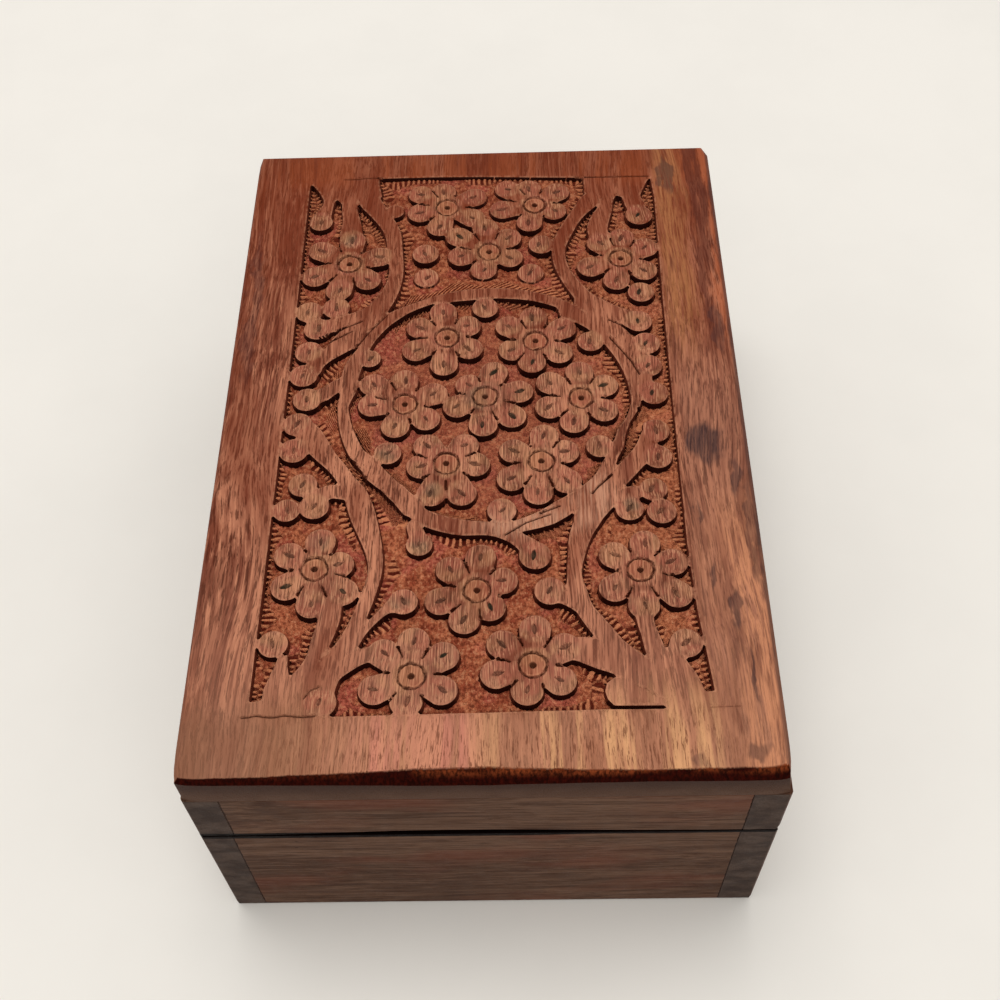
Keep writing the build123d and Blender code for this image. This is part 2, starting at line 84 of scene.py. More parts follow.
# single buds: x, y, radius
BUDS = [
    (-23.3, 14.5, 2.2), (-18.7, -9.4, 2.6), (21.4, 18.2, 2.6), (22, -8.5, 2.6), (3.1, -23.1, 2.7),
    (0, 27.9, 2.7), (-12, -30.4, 2.4), (9.1, -33.1, 2.9), (-14.5, -42.4, 2.6), (11.6, -40.6, 2.8),
    (-34.4, -16.6, 2.7), (-37.0, -22.4, 2.5), (-31.9, -21.6, 2.8), (31.5, -18.8, 2.6),
    (26.8, -23.1, 2.6), (32.7, -23.8, 2.7), (-36.9, -50.6, 2.6), (-27.9, -62, 2.8), (34.9, -51.5, 2.8),
    (-36, 54, 2.5), (33.5, 54.6, 2.9), (-12.8, 43.8, 2.8), (12, 46.1, 2.7), (9.6, 37.6, 2.7),
    (-12.5, 36.7, 2.6), (-36.5, 27.5, 2.8), (-31, 28.5, 2.8), (-34.5, 22.8, 2.8), (-35.8, 16.5, 2.8),
    (-36.4, 10.3, 2.8), (-35.2, 4.1, 2.8), (-36.6, -2.1, 2.8), (-36.8, -8.5, 2.8), (32.5, 31.6, 2.7),
    (31.4, 23.5, 2.8), (32.6, 17.4, 2.8), (32.6, 11.5, 2.8), (33.2, 4.4, 2.8), (32.9, -5, 2.7),
    (32.9, -11.2, 2.7), (-19.9, 57.1, 2.0),
]
# stems: x, y, width along the way
STEMS = [
    # the ring's tail, and the bud under it
    [(-12.5, -23.6, 2.8), (-9.5, -25.6, 2.6), (-4.7, -27.1, 2.4), (1, -27.4, 2.2), (5, -28.9, 2.4),
     (8.4, -31.4, 3.4)],
    [(-13.2, -26.2, 2.4), (-12.2, -29, 2.6)],
    [(-33.0, -64.6, 1.8), (-29.0, -64.4, 1.8)],
    # front left
    [(-29.5, -60.5, 7), (-27, -56, 4.5), (-24.9, -52, 2.8), (-23, -48.3, 2.7), (-22, -45, 2.2),
     (-21, -41.7, 2.2), (-20.1, -38, 2.1), (-19.8, -35, 2.2), (-20.4, -31, 3), (-22.6, -24, 4.4),
     (-24.3, -19, 4), (-26.4, -15, 3.3), (-28.6, -12, 3.2), (-31, -9, 4), (-33.5, -5.5, 4.5), (-35.3, -3, 4)],
    [(-23.6, -51.5, 2.4), (-21.6, -48.6, 1.3), (-19.4, -46, 1.0), (-17.4, -43.9, 1.5), (-15.5, -42.8, 3)],
    [(-28, -57.6, 3.6), (-24.6, -55, 3.2), (-21.5, -53.3, 2.6), (-18.8, -52.6, 2.4)],
    [(-30.5, -57, 3), (-29.5, -53, 2.3), (-28.5, -50, 3.1), (-27.5, -46, 3.5), (-27.3, -43, 3.6)],
    [(-31.9, -20, 3.4), (-29.3, -18.3, 2.6), (-26, -18.5, 3)],
    # front right
    [(21.4, -21.6, 3.6), (19.3, -25, 4.1), (18.2, -27, 3.8), (17.15, -30, 3.3), (16.6, -33, 2.6),
     (16.2, -35.5, 2.2), (16.1, -38.3, 2.3), (16.4, -40.7, 3.1), (17.6, -44.3, 2.7), (19.2, -46.9, 3),
     (20.9, -49.4, 3.2), (22.9, -52.1, 3.1), (24.9, -54.6, 4.2), (28, -57.6, 4.6)],
    [(11.6, -40.6, 3), (15, -42.3, 2.6), (17.5, -44, 2.6)],
    [(15.2, -52.2, 3.6), (18, -52.7, 4.8), (20.3, -54, 4.4), (23, -55.6, 3.4), (26, -57.6, 3.4)],
    [(28.1, -44.5, 2.6), (28.1, -47, 2.5), (28.8, -50, 2.6), (29.4, -52.5, 3), (30.6, -55.4, 3.6)],
    [(20.5, -24, 3), (24, -20.8, 2.4), (28, -19.5, 3)],
    [(31.8, -4.5, 3.4), (30.5, -9.5, 3.5), (28, -12.8, 3.5), (24.5, -17, 3.5), (20.5, -21, 3.5),
     (18.2, -25, 3.4)],
    # back left
    [(-25.5, 60.2, 4.6), (-23, 56, 3.6), (-20.9, 52.3, 3.2), (-19.9, 49.2, 3), (-19.4, 44.5, 2.9),
     (-18.9, 39, 2.7), (-19.6, 34, 3), (-21.5, 29.5, 3.8), (-24.5, 25, 4.6), (-27.8, 20.8, 4.2),
     (-30.5, 17.5, 3.6)],
    [(-24.5, 26.5, 3.4), (-29, 24.5, 3.2), (-34.5, 22.8, 3.4)],
    [(-25.5, 20.5, 3), (-29.5, 17.5, 3.5), (-32.5, 14.5, 3.5), (-34.8, 11.5, 3)],
    [(-28.5, 7.5, 4), (-31.5, 5.6, 3), (-35, 4.1, 3)],
    [(-30, 61, 3), (-30, 58, 2.9), (-29.3, 54, 3.5), (-29.2, 50, 4.6)],
    [(-34.5, 61.5, 1.8), (-35, 58.4, 2.2), (-36, 55.5, 3.6)],
    # back right
    [(23.2, 59.8, 4.2), (20.8, 56.4, 3), (18.9, 53.2, 2.6), (17.4, 50, 2.7), (16.3, 47.3, 2.6),
     (15.7, 45, 2.5), (16, 40, 2.5), (17.9, 35, 2.8), (20.5, 30.5, 3.4), (24, 24.5, 4), (27.5, 20, 3),
     (30, 15.5, 3), (31.3, 10, 3), (31.5, 5, 3)],
    [(21, 29, 5), (26, 26.3, 3.5), (31, 24, 3.5)],
    [(26.6, 60, 2.4), (26.3, 57, 2.6), (25.3, 54.5, 3.4), (24.3, 51, 4), (24.6, 47.5, 3.6)],
    [(32.2, 60.5, 3.4), (33, 57.5, 4)],
]
# the raised corners that the stems fan out from, and the leaf beside the front right one
RAISED_AREAS = [
    [(-42, -61.7), (-39.3, -61.7), (-37.8, -61.3), (-37.7, -59.3), (-36.7, -56.3), (-35.7, -53.3),
     (-34.2, -52.7), (-34, -55), (-33.5, -57.2), (-31, -54), (-28.3, -54.2), (-27, -58.3),
     (-29.7, -59), (-31.3, -61.3), (-31.3, -66), (-42, -66)],
    [(28.5, -56.5), (30.2, -56.8), (31.3, -53.3), (32.3, -50.8), (34.5, -54.7), (36.3, -57.8),
     (37.3, -60.8), (39, -60.8), (42, -61), (42, -66), (30.6, -66), (30.6, -62.3), (28, -60.8),
     (25.5, -58.8), (26.5, -57.5)],
    [(30.6, -63.3), (21.8, -63.2), (20.8, -62), (20.4, -60.5), (20.8, -59), (22, -58), (24, -57.9),
     (25.5, -58.8), (28, -60.8), (30.6, -62.3)],
    [(-42, 70), (-42, 66.2), (-38.8, 66), (-38.3, 65.5), (-37, 63.5), (-35.5, 60.3), (-33.6, 60.3),
     (-33, 61.3), (-31.9, 60), (-29.6, 60), (-29, 61.3), (-27.5, 59.5), (-23, 61.8), (-23.8, 66),
     (-24, 70)],
    [(42, 70), (42, 66.6), (36.9, 66.6), (36, 65.5), (35, 63), (34, 60.5), (33.8, 59.5), (30.4, 59.5),
     (30.3, 60.3), (28.9, 61), (27.9, 59), (25.5, 60.3), (22.7, 60.6), (21.9, 62.2), (21.9, 70)],
]
# hollows that cut back into the raised work
HOLLOWS = [
    [(-27.7, 16.7), (-31, 14.3), (-32.5, 12.7), (-33.5, 9.7), (-33.5, 7.3), (-32.3, 7.3), (-30.3, 9.3),
     (-28.7, 12), (-27.3, 15), (-25.3, 18.3)],
    [(-29, 6), (-31.3, 3.7), (-33.3, 1.7), (-34.2, 0.7), (-33.5, -1.3), (-32, -3.3), (-30.3, -6.3),
     (-28.7, -9.3), (-26.7, -12), (-24.7, -15), (-22.3, -18), (-23.3, -13.7), (-25.3, -11),
     (-27.3, -8.3), (-28.3, -5), (-29.2, -1.7), (-29.2, 1.7), (-28.7, 5)],
    [(29.7, 1), (29.7, 0), (28, -3), (27, -6), (26.5, -9), (26.3, -10.7), (27.3, -10.3), (29, -8.3),
     (29.8, -6.3), (30.5, -4.7), (30.8, -2), (31, 1)],
    [(-28.9, -20.6), (-27.7, -21.2), (-27.9, -22.4), (-29.1, -22.2)],
]
# knife lines that part one raised form from the next: how deep, then their points
KNIFE_LINES = [
    (1.0, [(25.3, 24), (28, 22.3), (29.5, 20.7)]),
    (1.0, [(25.3, 19), (27.3, 16), (29.3, 12.7), (30.7, 9.3)]),
    (1.0, [(-33.7, 20.3), (-28, 23.3), (-25.3, 24.7)]),
    (1.0, [(-32.7, 18.3), (-27.3, 22)]),
    (0.8, [(-20, 26.7), (-22, 24), (-24, 21.3), (-25.3, 19), (-27.3, 16.3)]),
    (1.0, [(24, -15.3), (21.3, -18), (20, -19.7)]),
    (0.8, [(-22.5, -15.5), (-25.3, -11)]),
    (0.9, [(10.3, -23.9), (14.0, -22.3)]),
    (0.7, [(-41.0, -64.7), (-38.5, -64.3), (-36.0, -64.6), (-33.6, -64.3), (-30.6, -64.6), (-28.5, -64.4)]),
    (0.6, [(-28.2, -59.0), (-29.7, -59.7), (-30.7, -61.2)]),
    (0.4, [(37.8, -63.8), (43.0, -63.6)]),
    (0.9, [(3.7, -28.6), (7.5, -26.0), (12.0, -24.2)]),
    (0.7, [(-31.5, 67.4), (-27.5, 67.7), (-23.2, 67.8)]),
    (0.7, [(20.2, 67.0), (28.0, 66.9), (36.4, 66.9)]),
]
# the ring's inner and outer edge: degrees, radius from RING_CENTRE
RING_CENTRE = (1.2, 2.2)
RING_INNER = [
    (0, 27.5), (30, 27.5), (45, 27.7), (58, 27.0), (62, 28.9), (72, 28.8), (82, 28.4), (100, 28.2),
    (108, 28.8), (112, 29.6), (125, 29.9), (135, 29.7), (145, 29.1), (152, 28.5), (160, 27.8),
    (172, 27.0), (180, 28.1), (188, 27.7), (196, 27.2), (204, 26.8), (210, 25.6), (230, 25.5),
    (238, 26.2), (244, 27.7), (268, 27.8), (278, 28.0), (288, 27.2), (297, 26.3), (318, 26.3),
    (325, 25.6), (345, 25.3), (352, 26.6), (360, 27.5),
]
RING_OUTER = [
    (0, 29.3), (10, 31.2), (16, 30.9), (25, 30.5), (38, 30.1), (60, 31.4), (90, 31.2), (120, 31.6),
    (132, 32.6), (138, 32), (148, 31.9), (165, 31.0), (180, 30.2), (205, 29.8), (215, 29.6),
    (225, 29.0), (232, 29.5), (238, 30.6), (245, 30.2), (255, 30.4), (261, 30.0), (267, 30.1),
    (274, 30.6), (285, 30.6), (292, 30.7), (300, 30.1), (305, 29.8), (312, 29), (320, 28.8),
    (331, 27.6), (350, 27.6), (357, 29), (360, 29.3),
]
FIELD = [
    (-39.3, 66.9), (-30, 67.6), (-12, 67.9), (0, 67.7), (21, 66.9), (36.8, 66.9), (37.3, 60),
    (36.9, 30), (36.8, 0), (36.8, -31), (37.4, -45), (38.4, -55), (39.2, -64), (20, -63.9), (0, -64.2),
    (-20, -64.5), (-40, -64.8), (-39.7, -30), (-39.4, 10), (-39.3, 40),
]
HUB_RADIUS = 3.6
TONGUE_WIDTH = 3.6
PETAL_RADIUS = 2.8
EYE_RADIUS = 2.4


# ------------------------------------------------------------------ distances in the plan
# how widely each form melts into what is already there, and how far off it is looked for
HUB_BLEND, PETAL_BLEND, BUD_BLEND, STEM_BLEND = 0.1, 0.05, 0.15, 0.5
NEAR_BUD, NEAR_STEM, NEAR_AREA, NEAR_HOLLOW = 6, 5, 4, 3


def smoothstep(low, high, value):
    t = np.clip((value - low) / (high - low), 0, 1)
    return t * t * (3 - 2 * t)


def soft_min(a, b, reach):
    share = np.clip(0.5 + 0.5 * (b - a) / reach, 0, 1)
    return b + (a - b) * share - reach * share * (1 - share)


def ribbon(x, y, start, end):
    """Distance outside a ribbon between two points, each x, y, width, and how far along it."""
    dx, dy = end[0] - start[0], end[1] - start[1]
    t = np.clip(((x - start[0]) * dx + (y - start[1]) * dy) / (dx * dx + dy * dy), 0, 1)
    half = (start[2] + (end[2] - start[2]) * t) / 2
    return np.hypot(x - start[0] - t * dx, y - start[1] - t * dy) - half, t * math.hypot(dx, dy)


def disc(x, y, centre, radius):
    """Distance outside a disc, and how far round it."""
    dx, dy = x - centre[0], y - centre[1]
    return np.hypot(dx, dy) - radius, np.arctan2(dy, dx) * (radius + 0.9)


def fair(points, steps=6):
    """A smooth run through the points."""
    nodes = np.array(points, float)
    nodes = np.vstack([2 * nodes[0] - nodes[1], nodes, 2 * nodes[-1] - nodes[-2]])
    run = []
    for a, b, c, d in zip(nodes[:-3], nodes[1:-2], nodes[2:-1], nodes[3:]):
        for t in np.arange(steps) / steps:
            bend = 2 * b + (c - a) * t + (2 * a - 5 * b + 4 * c - d) * t**2
            run.append(0.5 * (bend + (3 * b - a - 3 * c + d) * t**3))
    return np.array(run + [nodes[-2]])


def polygon(x, y, points):
    """Distance from a polygon's edge, negative inside, and how far along its edge."""
    distance = np.full(x.shape, 1e9)
    along = np.zeros(x.shape)
    inside = np.zeros(x.shape, bool)
    passed = 0.0
    for (ax, ay), (bx, by) in zip(points, points[1:] + points[:1]):
        off, run = ribbon(x, y, (ax, ay, 0), (bx, by, 0))
        along = np.where(off < distance, passed + run, along)
        distance = np.minimum(distance, off)
        passed += math.hypot(bx - ax, by - ay)
        if ay != by:
            crosses = (ay > y) != (by > y)
            inside ^= crosses & (x < (bx - ax) * (y - ay) / (by - ay) + ax)
    return np.where(inside, -distance, distance), along


def near(x, y, points, margin):
    """Which places lie within the margin of the points' box."""
    p = np.array(points, float)
    low, high = p[:, :2].min(0) - margin, p[:, :2].max(0) + margin
    return (x > low[0]) & (x < high[0]) & (y > low[1]) & (y < high[1])


def ring_distance(x, y):
    """Distance outside the raised ring, and how far round it."""
    dx, dy = x - RING_CENTRE[0], y - RING_CENTRE[1]
    angle = np.degrees(np.arctan2(dy, dx)) % 360
    radius = np.hypot(dx, dy)
    inner = np.interp(angle, *np.array(RING_INNER, float).T)
    outer = np.interp(angle, *np.array(RING_OUTER, float).T)
    return np.maximum(radius - outer, inner - radius), np.radians(angle) * radius


def carved_distance(x, y):
    """Distance into the cut ground, negative in what is left standing, the run along its edge, and
    whether that edge is one that the carver followed with a row of cuts."""
    distance, along = ring_distance(x, y)
    nearest = distance.copy()
    followed = np.ones(x.shape)

    def merge(points, margin, reach, shape, *sizes, passed=0.0, follow=0.0):
        here = near(x, y, points, margin)
        found, run = shape(x[here], y[here], *sizes)
        closer = found < nearest[here]
        along[here] = np.where(closer, passed + run, along[here])
        followed[here] = np.where(closer, follow, followed[here])
        nearest[here] = np.minimum(nearest[here], found)
        distance[here] = soft_min(distance[here], found, reach)

    for hub, *petals in FLOWERS:
        merge([hub], NEAR_BUD, HUB_BLEND, disc, hub, HUB_RADIUS)
        for petal in petals:
            tongue = [(*hub, TONGUE_WIDTH), (*petal, 2 * PETAL_RADIUS)]
            merge(tongue, NEAR_BUD, PETAL_BLEND, ribbon, *tongue)
    for bud in BUDS:
        merge([bud], NEAR_BUD, BUD_BLEND, disc, bud, bud[2])
    for stem in STEMS:
        run, passed = fair(stem), 0.0
        for start, end in zip(run[:-1], run[1:]):
            merge([start, end], NEAR_STEM, STEM_BLEND, ribbon, start, end, passed=passed, follow=1.0)
            passed += math.hypot(*(end - start)[:2])
    for area in RAISED_AREAS:
        merge(area, NEAR_AREA, STEM_BLEND, polygon, area, follow=1.0)
    for hollow in HOLLOWS:
        here = near(x, y, hollow, NEAR_HOLLOW)
        distance[here] = np.maximum(distance[here], -polygon(x[here], y[here], hollow)[0])
    field, run = polygon(x, y, FIELD)
    along = np.where(-field < distance, run, along)
    followed = np.where(-field < distance, 1.0, followed)
    return np.minimum(distance, -field), along, followed


# ------------------------------------------------------------------ seeded roughness
NOISE_START, NOISE_CELLS = 400, 64
PUNCH_START, PUNCH_COLUMNS, PUNCH_ROWS = 500, 97, 89


def lattice(shift, columns, rows):
    return np.random.default_rng(SEED + shift).random((columns, rows))


def value_noise(x, y, pitch, shift):
    """Smooth noise from -1 to 1."""
    u, v = x / pitch + NOISE_START, y / pitch + NOISE_START
    i, j = np.floor(u).astype(int), np.floor(v).astype(int)
    table = lattice(shift, NOISE_CELLS, NOISE_CELLS)
    a, b = u - i, v - j
    a, b = a * a * (3 - 2 * a), b * b * (3 - 2 * b)

    def at(p, q):
        return table[(i + p) % NOISE_CELLS, (j + q) % NOISE_CELLS]

    low = at(0, 0) * (1 - a) + at(1, 0) * a
    high = at(0, 1) * (1 - a) + at(1, 1) * a
    return 2 * (low * (1 - b) + high * b) - 1


def punch_ridges(x, y, pitch, shift, wide, narrow):
    """1 on the ridges left between scattered punch marks, 0 in the marks."""
    u, v = x / pitch + PUNCH_START, y / pitch + PUNCH_START
    i, j = np.floor(u).astype(int), np.floor(v).astype(int)
    shift_u, shift_v = [lattice(shift + k, PUNCH_COLUMNS, PUNCH_ROWS) for k in (0, 1)]
    first, second = np.full(x.shape, 9.0), np.full(x.shape, 9.0)
    for p in (-1, 0, 1):
        for q in (-1, 0, 1):
            cell = ((i + p) % PUNCH_COLUMNS, (j + q) % PUNCH_ROWS)
            gap = np.hypot(i + p + shift_u[cell] - u, j + q + shift_v[cell] - v)
            second = np.minimum(second, np.maximum(first, gap))
            first = np.minimum(first, gap)
    return smoothstep(wide, narrow, second - first)


# ------------------------------------------------------------------ the carved surface
EDGE_ROUNDING, ROUNDING_DROP = 0.5, 0.2
GOUGE_LENGTH, GOUGE_WIDTH, GOUGE_DEPTH, GOUGE_RISE = 2.3, 1.0, 0.6, 0.2
PETAL_DISH, DISH_RADIUS = 0.2, 2.3
EYE_GROOVE_HALF, EYE_GROOVE_DEPTH, EYE_SINK = 0.28, 0.45, 0.12
EYE_HOLE_RADIUS, EYE_HOLE_DEPTH = 0.5, 1.0
SLIT_HALF, SLIT_DEPTH, SLIT_START, SLIT_END = 0.26, 0.55, 4.0, 6.2
SLIT_SPREAD = math.radians(88)
LADDER_PITCH, LADDER_REACH = 1.15, 3.0
STAINED_SHARE, STAINED_BUD_SHARE, STAINED_FLOWER_SHARE = 0.16, 0.24, 0.9
STAINED_FLOWER = 3
# the marks that the colours follow, and what each says where its tool hasn't been
UNMARKED = {"gouge": -1.0, "slit": 0.0, "stain": 0.0, "petal": 0.0, "hub": 9.0}


def slit_lines():
    """The knife cuts between neighbouring petals, and the ones that part crossing stems."""
    lines = []
    for (hx, hy), *petals in FLOWERS:
        turns = sorted(math.atan2(cy - hy, cx - hx) for cx, cy in petals)
        for first, second in zip(turns, turns[1:] + [turns[0] + 2 * math.pi]):
            if second - first < SLIT_SPREAD:
                way = (math.cos((first + second) / 2), math.sin((first + second) / 2))
                ends = [(hx + reach * way[0], hy + reach * way[1]) for reach in (SLIT_START, SLIT_END)]
                lines.append((1.0, *ends))
    for size, line in KNIFE_LINES:
        lines += [(size, start, end) for start, end in zip(line[:-1], line[1:])]
    return lines


def pull_to_cuts(x, y, reach):
    """How far to move places that lie near the bottom of a narrow cut, so that it stays crisp."""
    best = np.full(x.shape, reach)
    move = np.zeros(x.shape), np.zeros(x.shape)

    def pull(here, dx, dy):
        off = np.hypot(dx, dy)
        closer = off < best[here]
        best[here] = np.where(closer, off, best[here])
        for axis, shift in enumerate((dx, dy)):
            move[axis][here] = np.where(closer, shift, move[axis][here])

    for hub, *_ in FLOWERS:
        here = near(x, y, [hub], EYE_RADIUS + 1)
        px, py = x[here] - hub[0], y[here] - hub[1]
        stretch = EYE_RADIUS / np.maximum(np.hypot(px, py), 1e-6) - 1
        pull(here, px * stretch, py * stretch)
    for _, (ax, ay), (bx, by) in slit_lines():
        here = near(x, y, [(ax, ay), (bx, by)], 1)
        px, py = x[here] - ax, y[here] - ay
        dx, dy = bx - ax, by - ay
        t = np.clip((px * dx + py * dy) / (dx * dx + dy * dy), 0, 1)
        pull(here, t * dx - px, t * dy - py)
    return move[0], move[1], best < reach


def tool_cuts(x, y):
    """Depth of the gouge, knife and drill cuts, with marks for the colours."""
    depth = np.zeros(x.shape)
    marks = {name: np.full(x.shape, value) for name, value in UNMARKED.items()}
    draw = np.random.default_rng(SEED)

    def deepen(here, name, value, found):
        depth[here] = np.maximum(depth[here], found)
        marks[name][here] = np.maximum(marks[name][here], value)

    def slit(size, start, end):
        here = near(x, y, [start, end], 1.5)
        off, _ = ribbon(x[here], y[here], (*start, 0.0), (*end, 0.0))
        cut = np.clip(1 - off / SLIT_HALF, 0, 1)
        deepen(here, "slit", cut * size, SLIT_DEPTH * size * cut)

    def gouge(cx, cy, way, sway, stained_share, stray, sizes):
        """One scoop in a dished petal, which wanders from the petal's middle and way."""
        angle = way + draw.normal(0, sway)
        stained = draw.random() < stained_share
        cx += draw.normal(0, stray)
        cy += GOUGE_RISE
        size = draw.uniform(*sizes)
        here = near(x, y, [(cx, cy)], 3.2)
        px, py = x[here] - cx, y[here] - cy
        along = px * math.cos(angle) + py * math.sin(angle)
        across = -px * math.sin(angle) + py * math.cos(angle)
        widest = GOUGE_WIDTH * size / 2
        taper = 1 - (along / (GOUGE_LENGTH * size / 2)) ** 2
        half = widest * np.clip(taper, 0, 1)
        cut = np.clip(1 - np.abs(across) / np.maximum(half, 1e-3), 0, 1) * (half > 1e-3)
        almond = taper - np.abs(across) / widest
        radius = np.hypot(px, py)
        dish = PETAL_DISH * np.clip(1 - (radius / DISH_RADIUS) ** 2, 0, 1)
        deepen(here, "gouge", almond, dish + GOUGE_DEPTH * size * cut**0.8)
        marks["petal"][here] = np.maximum(marks["petal"][here], smoothstep(3.0, 2.4, radius))
        if stained:
            marks["stain"][here] = np.maximum(marks["stain"][here], almond > -0.9)

    def hub_cuts(hx, hy):
        """The ring and the hole in a flower's middle."""
        here = near(x, y, [(hx, hy)], 4)
        radius = np.hypot(x[here] - hx, y[here] - hy)
        groove = np.clip(1 - np.abs(radius - EYE_RADIUS) / EYE_GROOVE_HALF, 0, 1) * EYE_GROOVE_DEPTH
        hole = smoothstep(EYE_HOLE_RADIUS + 0.2, EYE_HOLE_RADIUS - 0.2, radius) * EYE_HOLE_DEPTH
        inside = radius < EYE_RADIUS
        depth[here] = np.where(inside, EYE_SINK, depth[here])
        depth[here] = np.maximum(depth[here], np.maximum(groove, hole))
        marks["petal"][here] = np.where(radius < EYE_RADIUS + 1, 1.0, marks["petal"][here])
        marks["hub"][here] = np.minimum(marks["hub"][here], radius)
        marks["gouge"][here] = np.where(inside, UNMARKED["gouge"], marks["gouge"][here])

    for line in slit_lines():
        slit(*line)
    for number, ((hx, hy), *petals) in enumerate(FLOWERS):
        share = STAINED_FLOWER_SHARE if number == STAINED_FLOWER else STAINED_SHARE
        for cx, cy in petals:
            gouge(cx, cy, math.atan2(cy - hy, cx - hx), 0.25, share, 0.15, (0.8, 1.15))
        hub_cuts(hx, hy)
    # the last bud is too small for a gouge
    for cx, cy, _ in BUDS[:-1]:
        gouge(cx, cy, math.pi / 2, 0.5, STAINED_BUD_SHARE, 0.2, (0.75, 1.1))
    return depth, marks


def cut_ground(x, y, ground, run, followed):
    """Depth of the ground, punched all over, cut in ladders along the edges that the carver followed
    and shallow where it was left worn, with its texture and where the ladders are."""
    wx = x + 0.45 * value_noise(x, y, 1.7, 41)
    wy = y + 0.45 * value_noise(x, y, 1.7, 42)
    coarse = punch_ridges(wx, wy * 0.8, 1.05, 11, 0.42, 0.05)
    fine = punch_ridges(wy, wx, 0.6, 23, 0.4, 0.0)
    rung = smoothstep(-0.35, 0.45, np.cos(2 * math.pi * run / LADDER_PITCH))
    reach = LADDER_REACH + 0.5 * value_noise(x, y, 3.0, 4)
    beside = smoothstep(0.05, 0.2, ground) * smoothstep(reach + 0.2, reach - 0.1, ground)
    ladder = beside * followed * smoothstep(-0.75, -0.3, value_noise(x, y, 7.0, 5))
    texture = ladder * rung + (1 - ladder) * (0.6 * coarse + 0.4 * fine)
    worn = smoothstep(29.0, 31.5, y) * smoothstep(38.5, 35.0, y) * smoothstep(20, 13, np.abs(x))
    shallow = smoothstep(46.0, 60.0, y) * smoothstep(27.0, 17.0, np.abs(x))
    floor = CARVE_DEPTH - 0.05 - 0.2 * (1 + value_noise(x, y, 4.5, 9)) - (0.34 + 0.16 * ladder) * texture
    return np.clip(floor * (1 - 0.6 * worn) * (1 - 0.35 * shallow), 0.3, CARVE_DEPTH), texture, ladder


def carve(x, y, ground, along, followed):
    """Depth below the panel's top, and the marks that the colours follow."""
    cut, marks = tool_cuts(x, y)
    run = along + 0.3 * value_noise(x, y, 2.1, 3)
    floor, texture, ladder = cut_ground(x, y, ground, run, followed)
    top = cut + ROUNDING_DROP * smoothstep(-EDGE_ROUNDING, 0.0, ground)
    top = top + 0.05 * (1 + value_noise(x, y, 5.0, 15))
    below = ground > 0.02
    depth = np.where(below, floor, np.minimum(top, CARVE_DEPTH - 0.2))
    for name, value in UNMARKED.items():
        marks[name] = np.where(below, value, marks[name])
    marks["ground"] = below.astype(float)
    marks["pit"] = np.where(below, 1 - texture, 0.0)
    marks["ladder"] = ladder
    marks["run"] = run / LADDER_PITCH
    marks["rim"] = smoothstep(-0.45, -0.05, ground) * ~below
    marks["wall"] = smoothstep(0.5, 0.3, np.abs(ground))
    return depth, marks


# ------------------------------------------------------------------ the panel's mesh
# the lattice's pitch, its columns and rows, both in whole squares of the largest size, and its middle
FINE = 0.31
COLUMNS, ROWS = 296, 456
MIDDLE_Y = 0.2
SNAP = 0.55 * FINE
# how far along the arris, and down the side, each ring of the panel's edge lies
RIM_RINGS = [(0.0, 0), (0.1, 0), (0.25, 0), (0.42, 0), (0.6, 0), (0.8, 0), (1.0, 0), (1.0, 0.01),
             (1.0, 0.35), (1.0, 0.7), (1.0, 0.97), (1.0, 1.0)]
# the planed front arris: x, how far back it reaches
FRONT_ARRIS = [
    (-51.3, 0.9), (-48.3, 1.05), (-44.1, 1.25), (-35.9, 1.4), (-25, 1.8), (-19.3, 2.15), (-13.2, 2.5),
    (-6.9, 2.8), (1.3, 2.75), (10.4, 2.3), (18.7, 2.0), (27, 1.85), (35.2, 2.1), (41.3, 2.15), (51.3, 2.1),
]
FRONT_ARRIS_SLOPE = 0.7
SIDE_ARRIS = 0.7
CORNER_EASE = 0.45


def pooled(cells):
    """One cell for each two by two, marked if any of them is."""
    return cells[0::2, 0::2] | cells[1::2, 0::2] | cells[0::2, 1::2] | cells[1::2, 1::2]


def doubled(cells):
    """Two by two cells for each one."""
    return cells.repeat(2, 0).repeat(2, 1)


def spread(cells):
    """The marked cells and all their neighbours."""
    wide = np.pad(cells, 1)
    grown = np.zeros_like(cells)
    for p in (0, 1, 2):
        for q in (0, 1, 2):
            grown |= wide[p : p + cells.shape[0], q : q + cells.shape[1]]
    return grown


def panel_squares(work):
    """Squares of the panel's top, small where the carving needs it: first columns, first rows, size."""
    front_rows = np.zeros((COLUMNS // 2, ROWS // 2), bool)
    front_rows[:, :2] = True
    small = pooled(work[:-1, :-1] | work[1:, :-1] | work[:-1, 1:] | work[1:, 1:])
    middling = pooled(spread(small) | front_rows)
    large = pooled(spread(middling))
    leaves = [doubled(small), doubled(middling) & ~small, doubled(large) & ~middling, ~large]
    squares = []
    for level, leaf in enumerate(leaves):
        i, j = np.nonzero(leaf)
        size = 2**level
        squares.append((i * size, j * size, size))
    return squares


